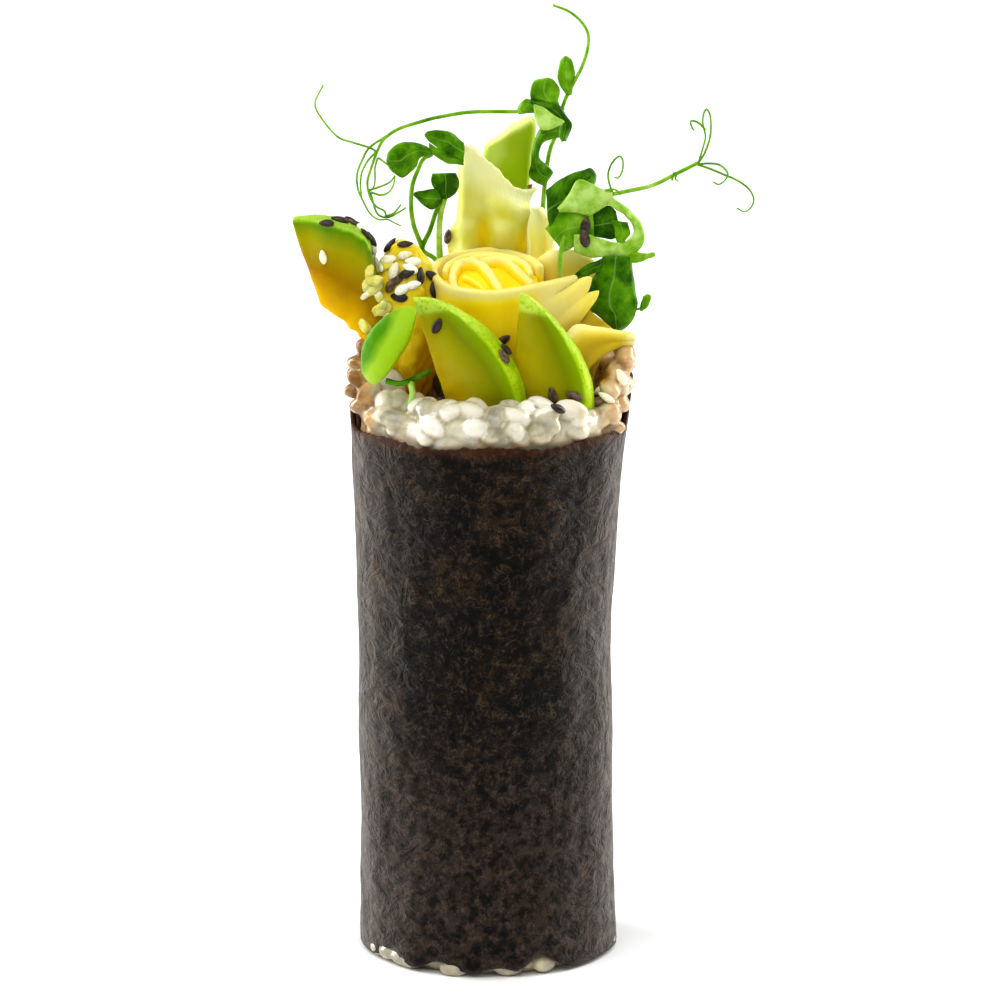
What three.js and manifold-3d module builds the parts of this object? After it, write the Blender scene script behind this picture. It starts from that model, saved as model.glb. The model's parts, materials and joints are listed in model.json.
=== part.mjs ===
// A temaki hand roll. A half sheet of nori is rolled round sushi rice and stands on its flat base.
// Avocado slices, folded pickled ginger and pea shoots stand in the rice at the open top.
// Millimetres. +X is right, +Y is away from the front and +Z is up.
// The origin is the middle of the flat base.

import * as THREE from "three";
import { mergeVertices } from "three/addons/utils/BufferGeometryUtils.js";
import Module from "manifold-3d";

const wasm = await Module();
wasm.setup();
const { Manifold, Mesh } = wasm;

// Driving dimensions

const GAP = 0.3;                  // clearance that touching pieces keep
const SHEET_LENGTH = 190;         // a half sheet of nori, round the roll
const SHEET_THICKNESS = 0.7;      // damp and swollen
const LAYER_PITCH = 1.0;          // from one turn of the nori to the next
const FLAP_ANGLE = 100;           // degrees, where the nori's free edge lies, at the back
const STEPS_PER_TURN = 36;

const WAIST_RADIUS = 23.95;       // the roll at its slimmest
const FOOT_SPREAD = 0.45;         // how far the base swells
const FOOT_HEIGHT = 36;
const MOUTH_SPREAD = 2.9;         // how far the mouth flares, over the last 60 mm
const MOUTH_START = 50;
const MOUTH_LENGTH = 60;
const BEND = 0.7;                 // the roll leans out to the left at half height

const RIM_FRONT = 102.4;          // the nori's top edge at the front
const RIM_RISE = 5.3;             // and how much higher it is at the back
const RIM_SKEW = 3;               // higher again on the right than on the left
const HEM = 0.8;                  // the nori's bottom edge clears what the roll stands on

const RICE_FLOOR = 104;           // bottom of the hollow that the toppings stand in
const RICE_HOLLOW_RADIUS = 14;
const RICE_WALL_TOP = 5.4;        // bare rice above the nori's edge at the front
const RICE_BACK_RISE = 5;         // and how much higher the rice stands at the back
const RICE_END_RISE = 6.4;        // and at the left and right ends of the mouth
const RICE_THINNING = 3;          // the wall is this much thinner at the right, beside the toppings
const TOPPING_FOOT = 104.7;       // the ginger and the shoots stand on that floor
const CORE_CLEARANCE = 0.65;      // between the bare rice and the nori
const GRAIN = { length: 6, width: 4.1, thickness: 3.5 };
const SEED = { length: 3.2, width: 1.9, thickness: 1.2 };

const GINGER_THICKNESS = 1.6;
const LEAF_THICKNESS = 0.55;
const STALK = 0.5;                // radii
const TENDRIL = 0.22;
const VIEW_SLOPE = 0.233;         // the front view looks down by this much
const RIM_TILT = 0.2;             // the rose's rim is higher behind
const ROSE = { x: -0.4, y: 2.5, rim: 131, radius: 10.2, footRadius: 6, foot: 105.3 };

// Colours and finishes

function finish(colour, roughness) {
  return new THREE.MeshStandardMaterial({ color: colour, roughness, metalness: 0 });
}

const NORI = finish(0x1e160f, 0.42);
const RICE = finish(0xdad2b6, 0.45);
const AVOCADO = finish(0x9cae10, 0.5);
const GINGER = finish(0xe2c834, 0.4);
const SHOOT = finish(0x4c8c28, 0.5);

// Shapes

const { lerp, smoothstep } = THREE.MathUtils;
const DEGREE = Math.PI / 180;

function spot(at) {
  return new THREE.Vector3(...at);
}

function seeded(seed) {
  let state = seed;
  return () => {
    state = (state * 16807) % 2147483647;
    return state / 2147483647;
  };
}

/** Moves every point of a geometry. */
function shaped(geometry, move) {
  const places = geometry.getAttribute("position");
  const here = new THREE.Vector3();
  for (let index = 0; index < places.count; index += 1) {
    here.fromBufferAttribute(places, index);
    const there = move(here);
    places.setXYZ(index, there.x, there.y, there.z);
  }
  return geometry;
}

/** A thin closed sheet about the surface middle(u, v), with both of its faces split alike. */
function sheet(across, along, thickness, middle) {
  const STEP = 1e-3;
  const columns = across + 1;
  const rows = along + 1;
  const places = [];
  for (const side of [-0.5, 0.5]) {
    for (let row = 0; row < rows; row += 1) {
      for (let column = 0; column < columns; column += 1) {
        const u = column / across;
        const v = row / along;
        const sideways = middle(Math.min(u + STEP, 1), v).sub(middle(Math.max(u - STEP, 0), v));
        const upwards = middle(u, Math.min(v + STEP, 1)).sub(middle(u, Math.max(v - STEP, 0)));
        const normal = sideways.cross(upwards).normalize();
        places.push(...middle(u, v).addScaledVector(normal, side * thickness).toArray());
      }
    }
  }
  const at = (side, row, column) => (side * rows + row) * columns + column;
  const corners = [];
  const face = (a, b, c, d) => corners.push(a, b, c, a, c, d);
  for (let row = 0; row < along; row += 1) {
    for (let column = 0; column < across; column += 1) {
      face(at(1, row, column), at(1, row, column + 1), at(1, row + 1, column + 1), at(1, row + 1, column));
      const under = [at(0, row, column), at(0, row + 1, column), at(0, row + 1, column + 1),
        at(0, row, column + 1)];
      corners.push(under[0], under[1], under[2], under[0], under[2], under[3]);
    }
    face(at(0, row + 1, 0), at(0, row, 0), at(1, row, 0), at(1, row + 1, 0));
    face(at(0, row, across), at(0, row + 1, across), at(1, row + 1, across), at(1, row, across));
  }
  for (let column = 0; column < across; column += 1) {
    face(at(0, 0, column), at(0, 0, column + 1), at(1, 0, column + 1), at(1, 0, column));
    face(at(0, along, column + 1), at(0, along, column), at(1, along, column), at(1, along, column + 1));
  }
  const geometry = new THREE.BufferGeometry();
  geometry.setAttribute("position", new THREE.Float32BufferAttribute(places, 3));
  geometry.setIndex(corners);
  return geometry;
}

/** A round stalk along a curve, tapering from its base to its tip. */
function stalk(route, baseRadius, tipRadius, steps, sides = 5) {
  const curve = new THREE.CatmullRomCurve3(route.map(spot), false, "centripetal");
  const frames = curve.computeFrenetFrames(steps, false);
  return shaped(new THREE.CylinderGeometry(1, 1, 1, sides, steps), (here) => {
    const travelled = here.y + 0.5;
    const step = Math.round(travelled * steps);
    const radius = lerp(baseRadius, tipRadius, travelled);
    return curve.getPointAt(travelled)
      .addScaledVector(frames.normals[step], here.x * radius)
      .addScaledVector(frames.binormals[step], here.z * radius);
  });
}

/** A point from its place across and its height in the front view, and its depth. */
function seen(across, height, depth) {
  return new THREE.Vector3(across, depth, height - VIEW_SLOPE * depth);
}

/** A leaf or slice between two edges, drawn in the front view from its base to its tip. */
function blade(edges, depths, cup, thickness = LEAF_THICKNESS, across = 2, along = 4) {
  const flat = ([x, height]) => new THREE.Vector3(x, height, 0);
  const curves = edges.map((edge) => new THREE.CatmullRomCurve3(edge.map(flat), false, "centripetal"));
  return sheet(across, along, thickness, (u, v) => {
    const [left, right] = curves.map((curve) => curve.getPoint(v));
    const here = left.lerp(right, u);
    return seen(here.x, here.y, lerp(...depths, v) + cup * 4 * u * (1 - u));
  });
}

/** A block cut flat before and behind, with its outline given in x and z. */
function block(outline, front, depth, bevel) {
  const shape = new THREE.Shape(outline.map((point) => new THREE.Vector2(...point)));
  const slab = new THREE.ExtrudeGeometry(shape, {
    depth: depth - 2 * bevel, bevelThickness: bevel, bevelSize: bevel, bevelOffset: -bevel, bevelSegments: 1,
  });
  return shaped(slab, (here) => new THREE.Vector3(here.x, front + bevel + here.z, here.y));
}

/** The value of a broken line at a share of its length. */
function alongLine(line, share) {
  const step = line.findIndex(([end], index) => index > 0 && share <= end);
  const [[start, low], [end, high]] = [line[step - 1], line[step]];
  return lerp(low, high, (share - start) / (end - start));
}

/** A grain or seed: an oval with few sides, its length along one direction and its flat side up. */
function oval(at, along, up, size) {
  const length = along.clone().normalize();
  const width = new THREE.Vector3().crossVectors(length, up).normalize();
  const height = new THREE.Vector3().crossVectors(width, length);
  const turn = new THREE.Matrix4().makeBasis(width, length, height).setPosition(at);
  return new THREE.SphereGeometry(0.5, 5, 4).scale(size.width, size.length, size.thickness)
    .applyMatrix4(turn);
}

/** A slice of avocado: a crescent from tip to foot, thick at its skin and thin at the pit's side. */
function slice(tip, foot, bulge, depth, skinWidth, pitWidth, bluntness = 0.75) {
  const CORNERS = 0.45;
  const from = spot(tip);
  const span = spot(foot).sub(from);
  const side = new THREE.Vector3().crossVectors(span, spot(bulge)).normalize();
  const out = new THREE.Vector3().crossVectors(side, span).normalize();
  const squared = (value) => Math.sign(value) * Math.abs(value) ** CORNERS;
  return shaped(new THREE.SphereGeometry(1, 12, 10), (here) => {
    const travelled = Math.acos(THREE.MathUtils.clamp(here.y, -1, 1)) / Math.PI;
    const girth = Math.hypot(here.x, here.z) || 1;
    const outwards = (squared(here.x / girth) + 1) / 2;
    const across = squared(here.z / girth);
    const full = Math.sin(Math.PI * travelled) ** bluntness;
    const crown = 0.1 * depth * outwards * (1 - across * across);
    return from.clone().addScaledVector(span, travelled)
      .addScaledVector(out, full * (depth * outwards + crown))
      .addScaledVector(side, full * across * lerp(pitWidth, skinWidth, outwards) / 2);
  });
}

// Solids

function merged(geometry) {
  const bare = geometry.clone();
  bare.deleteAttribute("normal");
  bare.deleteAttribute("uv");
  return mergeVertices(bare, 1e-4);
}

function solidOf(geometry) {
  const welded = merged(geometry);
  const places = welded.getAttribute("position").array;
  const point = (index) => new THREE.Vector3().fromArray(places, 3 * index);
  const corners = [];
  let volume = 0;
  for (let start = 0; start < welded.index.count; start += 3) {
    const [a, b, c] = welded.index.array.slice(start, start + 3);
    if (a !== b && b !== c && c !== a) {
      corners.push(a, b, c);
      volume += point(a).dot(point(b).cross(point(c)));
    }
  }
  if (volume < 0) {
    corners.reverse();
  }
  return new Manifold(new Mesh({
    numProp: 3,
    vertProperties: new Float32Array(places),
    triVerts: new Uint32Array(corners),
  }));
}

function geometryOf(solid) {
  const { vertProperties, triVerts } = solid.getMesh();
  const geometry = new THREE.BufferGeometry();
  geometry.setAttribute("position", new THREE.BufferAttribute(vertProperties, 3));
  geometry.setIndex(new THREE.BufferAttribute(triVerts, 1));
  geometry.computeVertexNormals();
  return geometry;
}

/** The room that a body needs: the body with every face moved out by the gap. */
function grown(geometry) {
  const SHARPEST = 0.4;
  const body = geometryOf(solidOf(geometry));
  const places = body.getAttribute("position");
  const corners = Array.from(body.index.array);
  const facing = Array.from({ length: places.count }, () => []);
  for (let start = 0; start < corners.length; start += 3) {
    const face = corners.slice(start, start + 3);
    const triangle = new THREE.Triangle().setFromAttributeAndIndices(places, ...face);
    const normal = triangle.getNormal(new THREE.Vector3());
    face.forEach((corner) => facing[corner].push(normal));
  }
  facing.forEach((normals, index) => {
    const out = normals.reduce((sum, normal) => sum.add(normal), new THREE.Vector3()).normalize();
    const least = Math.min(...normals.map((normal) => normal.dot(out)));
    out.multiplyScalar(GAP / Math.max(least, SHARPEST));
    out.add(new THREE.Vector3().fromBufferAttribute(places, index));
    places.setXYZ(index, ...out.toArray());
  });
  return body;
}

function largest(solid) {
  return solid.decompose().reduce((most, next) => (next.volume() > most.volume() ? next : most));
}

const FINEST = 0.06;              // slivers smaller than this are taken out of a cut piece
const roll = new THREE.Group();
const rooms = [];

/** Adds a piece made of fused bodies, cut to clear the rooms of the pieces that are already there. */
function place(name, material, bodies) {
  const whole = Manifold.union(bodies.map(solidOf));
  const fitted = whole.subtract(Manifold.union(rooms)).simplify(FINEST);
  const mesh = new THREE.Mesh(geometryOf(largest(fitted)), material);
  mesh.name = name;
  roll.add(mesh);
  rooms.push(Manifold.union([whole, ...bodies.map((body) => solidOf(grown(body)))]));
}

/** Presses seeds into a body, scattered about a centre and laid on the side that faces the front. */
function seedsOn(body, clusters, random) {
  const LOOK = new THREE.Vector3(0, 0.9, -0.45).normalize();
  const RUN_UP = 60;
  const RAISED = 0.2;               // share of a seed's thickness
  const target = new THREE.Mesh(geometryOf(solidOf(body)), new THREE.MeshBasicMaterial());
  const seeds = [];
  for (const { centre, spread, count } of clusters) {
    for (let index = 0; index < count; index += 1) {
      const sideways = (2 * random() - 1) * spread[0];
      const upwards = (2 * random() - 1) * spread[1];
      const tilt = random() * Math.PI;
      const start = spot(centre).add(new THREE.Vector3(sideways, 0, upwards)).addScaledVector(LOOK, -RUN_UP);
      const hit = new THREE.Raycaster(start, LOOK).intersectObject(target)[0];
      if (hit) {
        const flat = new THREE.Vector3(Math.cos(tilt), 0, Math.sin(tilt)).cross(hit.face.normal);
        const at = hit.point.clone().addScaledVector(hit.face.normal, SEED.thickness * RAISED);
        seeds.push(oval(at, flat, hit.face.normal, SEED));
      }
    }
  }
  return seeds;
}

// The roll's own form

function rollRadius(height) {
  const foot = Math.max(0, 1 - height / FOOT_HEIGHT);
  const mouth = Math.max(0, (height - MOUTH_START) / MOUTH_LENGTH);
  return WAIST_RADIUS + FOOT_SPREAD * foot * foot + MOUTH_SPREAD * mouth * mouth;
}

function onRoll(angle, radius, height) {
  const centre = -BEND * Math.sin(Math.PI * height / 100);
  return new THREE.Vector3(centre + radius * Math.cos(angle), radius * Math.sin(angle), height);
}

/** How far the rim stands above its front, for an angle round the roll. */
function rimRise(angle) {
  return smoothstep(Math.sin(angle), -0.24, 0.02) * (RIM_RISE + RIM_SKEW * Math.cos(angle));
}

// Nori: one sheet wound one turn and a quarter. Its hem lifts where grains of rice show under it.

const HEM_LIFTS = [[-140, 2.6], [-113, 1.9], [-86, 1.1], [-66, 3.3], [20, 2], [74, 1.6], [150, 2]];
const LIFT_WIDTH = 8 * DEGREE;
const sheetTurns = Math.round(STEPS_PER_TURN * SHEET_LENGTH / (2 * Math.PI * WAIST_RADIUS))
  / STEPS_PER_TURN;

function hem(angle) {
  const lifts = HEM_LIFTS.map(([degrees, lift]) => {
    const away = Math.atan2(Math.sin(angle - degrees * DEGREE), Math.cos(angle - degrees * DEGREE));
    return lift * Math.exp(-((away / LIFT_WIDTH) ** 2));
  });
  return HEM + Math.max(...lifts);
}

function wrinkle(angle, height) {
  return 0.12 * Math.sin(3 * angle + height / 14) + 0.1 * Math.sin(5 * angle - height / 11);
}

function nori() {
  return [sheet(sheetTurns * STEPS_PER_TURN, 7, SHEET_THICKNESS, (u, v) => {
    const turned = u * sheetTurns;
    const angle = FLAP_ANGLE * DEGREE + turned * 2 * Math.PI;
    const edge = RIM_FRONT + rimRise(angle) + 0.4 * Math.sin(7 * angle);
    const height = lerp(hem(angle), edge, v);
    const radius = rollRadius(height) + LAYER_PITCH * (0.5 - turned) - SHEET_THICKNESS / 2;
    return onRoll(angle, radius + wrinkle(angle, height), height);
  })];
}

// Rice: one core, hollow at the top, with whole grains fused on round its mouth and its base.

/** Turns of the nori outside the rice at an angle, where the sheet's inner end makes a step. */
function turnsOutside(angle) {
  const turned = THREE.MathUtils.euclideanModulo(angle / DEGREE - FLAP_ANGLE, 360) / 360;
  return turned <= sheetTurns - 1 + 1e-6 ? turned + 1 : turned;
}

function coreRadius(angle, height) {
  return rollRadius(height) + LAYER_PITCH * (0.5 - turnsOutside(angle)) - SHEET_THICKNESS
    - CORE_CLEARANCE;
}

/** The top of the rice: lowest at the front, and highest at the left and right ends. */
function wallTop(angle) {
  const ends = RICE_END_RISE * smoothstep(Math.abs(Math.cos(angle)), 0.93, 0.995);
  const back = RICE_BACK_RISE * smoothstep(Math.sin(angle), -0.1, 0.4);
  return RIM_FRONT + RICE_WALL_TOP + Math.max(ends, back);
}

function core() {
  const FOOT_BEVEL = 1.2;
  const SIDE_ROWS = 4;
  const SHOULDER = 2.4;             // from the wall's top down to where its outside turns in
  const CREST = { radius: 19.6, drop: 0.4, inset: 1.4 };
  const INNER = { radius: 16.8, drop: 2 };
  const rows = [
    () => [0, 0],
    (angle) => [coreRadius(angle, 0) - FOOT_BEVEL, 0],
  ];
  for (let row = 0; row <= SIDE_ROWS; row += 1) {
    rows.push((angle) => {
      const height = lerp(FOOT_BEVEL, wallTop(angle) - SHOULDER, Math.sqrt(row / SIDE_ROWS));
      return [coreRadius(angle, height), height];
    });
  }
  rows.push((angle) => [coreRadius(angle, RICE_FLOOR) - CREST.inset, wallTop(angle) - CREST.drop]);
  const thinned = (angle) => RICE_THINNING * smoothstep(Math.cos(angle), 0.75, 0.95);
  rows.push((angle) => [CREST.radius + thinned(angle), wallTop(angle)]);
  rows.push((angle) => [INNER.radius + thinned(angle), wallTop(angle) - INNER.drop - thinned(angle)]);
  rows.push((angle) => [RICE_HOLLOW_RADIUS + thinned(angle), RICE_FLOOR]);
  rows.push(() => [0, RICE_FLOOR]);
  const column = new THREE.CylinderGeometry(1, 1, 1, STEPS_PER_TURN, rows.length - 1, true);
  return shaped(column, (here) => {
    const row = Math.round((here.y + 0.5) * (rows.length - 1));
    const angle = Math.atan2(-here.z, here.x) + FLAP_ANGLE * DEGREE;
    const [radius, height] = rows[row](angle);
    return onRoll(angle, radius, height);
  });
}

/** Rows of grains: how far out, how far above the wall's top, and how many go round. */
const MOUTH_ROWS = [
  { radius: 23.8, lift: -0.9, count: 15 },
  { radius: 20.9, lift: 0.9, count: 11 },
];
/** Grains piled on the nori's edge at both ends: degrees, how far out, and height. */
const END_GRAINS = [[-16, 24.8, 112], [3, 25.2, 112.8], [-5, 25, 114.8], [10, 24.6, 113.9],
  [194, 24.6, 108], [176, 24.6, 111.2], [188, 24.4, 113.6], [172, 24, 114.6]];
const FOOT_GRAINS = 11;
const FOOT_GRAIN_RADIUS = 23.2;
const FOOT_GRAIN_HEIGHT = 1.5;

function grains(random) {
  const bodies = [];
  const lay = (angle, radius, height, steepness, turning) => {
    const heading = angle + Math.PI / 2 + (random() - 0.5) * turning;
    const along = new THREE.Vector3(Math.cos(heading), Math.sin(heading), (random() - 0.5) * steepness);
    const scale = 0.88 + 0.24 * random();
    const size = {
      length: GRAIN.length * scale,
      width: GRAIN.width * scale,
      thickness: GRAIN.thickness * scale,
    };
    bodies.push(oval(onRoll(angle, radius, height), along, new THREE.Vector3(0, 0, 1), size));
  };
  for (const { radius, lift, count } of MOUTH_ROWS) {
    for (let index = 0; index < count; index += 1) {
      const angle = (index + 0.5 * random()) / count * 2 * Math.PI;
      lay(angle, radius + (random() - 0.5), wallTop(angle) + lift + random() - 0.5, 1, 2.2);
    }
  }
  for (let index = 0; index < FOOT_GRAINS; index += 1) {
    const angle = (index + 0.4 * random()) / FOOT_GRAINS * 2 * Math.PI;
    lay(angle, FOOT_GRAIN_RADIUS + 0.6 * random(), FOOT_GRAIN_HEIGHT, 0.15, 0.7);
  }
  for (const [degrees, radius, height] of END_GRAINS) {
    lay(degrees * DEGREE, radius, height, 1, 2.2);
  }
  return bodies;
}

/** Black and white sesame that lies on the rice at the right of the mouth. */
const RICE_SEEDS = [
  { centre: [14, -20, 111], spread: [5, 2], count: 3 },
  { centre: [22, -12, 114], spread: [3, 3], count: 3 },
];

function rice() {
  const random = seeded(3301);
  const bare = core();
  const taken = Manifold.union(rooms);
  const MOST_CUT = 0.25;
  const kept = grains(random).filter((grain) => {
    const body = solidOf(grain);
    return body.intersect(taken).volume() < MOST_CUT * body.volume();
  });
  const floor = new THREE.Plane(new THREE.Vector3(0, 0, 1), 0);
  const whole = Manifold.union([bare, ...kept].map(solidOf)).trimByPlane(floor.normal.toArray(), 0);
  const seeds = seedsOn(geometryOf(whole), RICE_SEEDS, random);
  return [geometryOf(whole), ...seeds];
}

// Avocado: four slices and one chunk, cut from the skin in.

const AVOCADO_SEEDS = [
  { centre: [-31, 0, 140], spread: [1.5, 1], count: 2 },
  { centre: [-26, 0, 138], spread: [4, 1.5], count: 4 },
  { centre: [-31.5, -5, 135], spread: [0.2, 0.2], count: 1 },
];

/** The chunk at the left: green skin on top, cut flat, narrowing to its lower end and left corner. */
const CHUNK_OUTLINE = [[-37.2, 141.4], [-35.3, 135.4], [-32.9, 128.5], [-31.8, 125.2], [-28.4, 122.7],
  [-24.2, 119.2], [-19.4, 113], [-20, 126], [-21.6, 132], [-22.3, 136.4], [-23.6, 138.6], [-26.5, 140.2],
  [-29.7, 141], [-33, 141.6]];
const CHUNK_DEPTH = 9.2;

function chunk() {
  const MIDDLE = -0.8;
  const CORNER = { start: -37.5, end: -29.5, share: 0.3 };
  const FOOT = { start: 113, end: 142, share: 0.66 };
  return shaped(block(CHUNK_OUTLINE, MIDDLE - CHUNK_DEPTH / 2, CHUNK_DEPTH, 0.7), (here) => {
    const corner = lerp(CORNER.share, 1, smoothstep(here.x, CORNER.start, CORNER.end));
    const low = lerp(FOOT.share, 1, (here.z - FOOT.start) / (FOOT.end - FOOT.start));
    here.y = MIDDLE + (here.y - MIDDLE) * corner * low;
    return here;
  });
}

const BACK_OUTLINE = [[-2, 104], [8.4, 104], [7.5, 143.7], [7.9, 149.1], [8.5, 152.9], [8.8, 154.8],
  [8.3, 157.2], [6.4, 156.5], [4, 155.4], [1.8, 153.3], [-0.3, 152.1], [-1.2, 150.9], [-1.5, 147.5]];

// Ginger: pickled slices, one rolled into a rose and the others folded round it.

/** The torn end of the rose's outer turn, from its lower edge to its upper edge. */
const TORN_END = [[14.4, 118.8], [17.8, 123.5], [20.8, 127.7], [18, 126.8], [19.3, 130.5], [14, 127.2],
  [16.4, 130.3]];
const TAIL_DEPTH = 1.3;

function rose() {
  const TAIL = { left: 16.6, low: 119.2, high: 130.1 };  // where the torn end leaves the even slice
  const START = 10;
  const ARC = 290;
  const ARC_SHARE = 0.7;
  const { x, y, rim, radius, footRadius, foot } = ROSE;
  const edge = (height) => rim + (height - y) * RIM_TILT;
  return sheet(24, TORN_END.length - 1, GINGER_THICKNESS, (u, v) => {
    const angle = (START + ARC * Math.min(u / ARC_SHARE, 1)) * DEGREE;
    const reach = lerp(footRadius, radius, Math.sqrt(v));
    const here = new THREE.Vector3(x + reach * Math.cos(angle), y + reach * Math.sin(angle), 0);
    here.z = lerp(foot, edge(here.y), v);
    const tail = Math.max(0, (u - ARC_SHARE) / (1 - ARC_SHARE));
    const reached = v * (TORN_END.length - 1);
    const step = Math.min(Math.floor(reached), TORN_END.length - 2);
    const [torn, next] = [TORN_END[step], TORN_END[step + 1]].map(([across, high]) =>
      seen(across, high, TAIL_DEPTH));
    torn.lerp(next, reached - step);
    const even = seen(TAIL.left, lerp(TAIL.low, TAIL.high, v), TAIL_DEPTH);
    return here.lerp(even, tail ** 0.8).add(torn.sub(even).multiplyScalar(tail ** 2.2));
  });
}

/** The heart of the rose: strips that turn back on themselves, standing on a packed middle. */
const HEART_STRIPS = [
  [[-3.6, -6.6], [-6.1, -5], [-6.7, -0.6], [-5.6, 3.3], [-3.8, 4.2], [-1.7, 2.8], [0, -0.5], [1.3, -3.7],
    [2.5, -6.6]],
  [[-2, 2.6], [0, 3.9], [2.5, 4.4], [4.6, 2.8], [6.2, 0.2], [8.6, -2.6]],
];
const HEART_FOOT = 118;
const HEART_TOP = 128;
const HEART_RADIUS = 8.9;

function roseHeart() {
  const strips = HEART_STRIPS.map((route) => {
    const curve = new THREE.CatmullRomCurve3(route.map(([x, y]) => new THREE.Vector3(x, y, 0)));
    return sheet(11, 1, GINGER_THICKNESS * 0.9, (u, v) => {
      const here = curve.getPoint(u);
      const high = ROSE.rim + (here.y - ROSE.y) * RIM_TILT;
      return new THREE.Vector3(ROSE.x + here.x, here.y, lerp(HEART_FOOT + 2, high, v));
    });
  });
  const packed = new THREE.CylinderGeometry(HEART_RADIUS, HEART_RADIUS * 0.8, HEART_TOP - HEART_FOOT, 14)
    .rotateX(Math.PI / 2).translate(ROSE.x, ROSE.y, (HEART_TOP + HEART_FOOT) / 2);
  return [packed, ...strips];
}

/** The tall slice's edges in the front view: its top by share across, its sides by share up. */
const TALL_TOP = [[0, 155], [0.1, 156.1], [0.2, 155.7], [0.31, 153.8], [0.42, 152.2], [0.53, 151.1],
  [0.63, 149.3], [0.74, 147.7], [0.86, 147.1], [1, 147.6]];
const TALL_LEFT = [[0, -7.2], [0.1, -7.9], [0.24, -8.3], [0.32, -7.6], [0.4, -6], [0.6, -5.6], [0.85, -5.9],
  [1, -6.2]];
const TALL_RIGHT = [[0, 8.7], [0.2, 9.5], [0.4, 8.7], [0.55, 7.7], [0.8, 7.2], [0.92, 7.7], [1, 8.5]];
const TALL_FOOT = 132;

function tallSlice() {
  const SHOWN = 0.35;               // below this share it runs straight down to the floor
  const DEPTH = 15.6;
  const BOW = 2;                    // its middle bows forward by this much
  const BULGE = { x: 3.4, high: 139.8, width: 3.2, height: 4.7, reach: 2.6 };
  return sheet(10, 8, GINGER_THICKNESS, (u, v) => {
    const up = Math.max(0, (v - SHOWN) / (1 - SHOWN));
    const across = lerp(alongLine(TALL_LEFT, up), alongLine(TALL_RIGHT, up), u);
    const high = lerp(TALL_FOOT, alongLine(TALL_TOP, u), up);
    const sideways = (across - BULGE.x) / BULGE.width;
    const upwards = (high - BULGE.high) / BULGE.height;
    const bulge = BULGE.reach * Math.exp(-(sideways ** 2) - upwards ** 2);
    const here = seen(across, high, DEPTH - BOW * Math.sin(Math.PI * u) - bulge);
    here.z = lerp(TOPPING_FOOT, here.z, Math.min(v / SHOWN, 1));
    return here;
  });
}

/** A thick slice folded over: a mound with soft creases, under most of the sesame. */
function fold() {
  const CENTRE = [-15.8, 1.5, 120.6];
  const HALF = [6.8, 7, 16];
  const CREASES = 5;
  const CREASE_DEPTH = 0.1;         // share of its half width
  return shaped(new THREE.SphereGeometry(1, 13, 6), (here) => {
    const turned = Math.atan2(here.z, here.x);
    const crease = 1 + CREASE_DEPTH * Math.cos(CREASES * turned);
    return new THREE.Vector3(
      CENTRE[0] + here.x * crease * HALF[0],
      CENTRE[1] - here.z * crease * HALF[1],
      CENTRE[2] + here.y * HALF[2],
    );
  });
}

const FOLD_SEEDS = [
  { centre: [-18.5, 0, 134], spread: [2, 1.5], count: 3 },
  { centre: [-14.5, 0, 132], spread: [4, 2.5], count: 5 },
  { centre: [-19, 0, 127], spread: [1.6, 3], count: 2 },
];

// Pea shoots: stalks with thin leaves, ending in tendrils.

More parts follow.
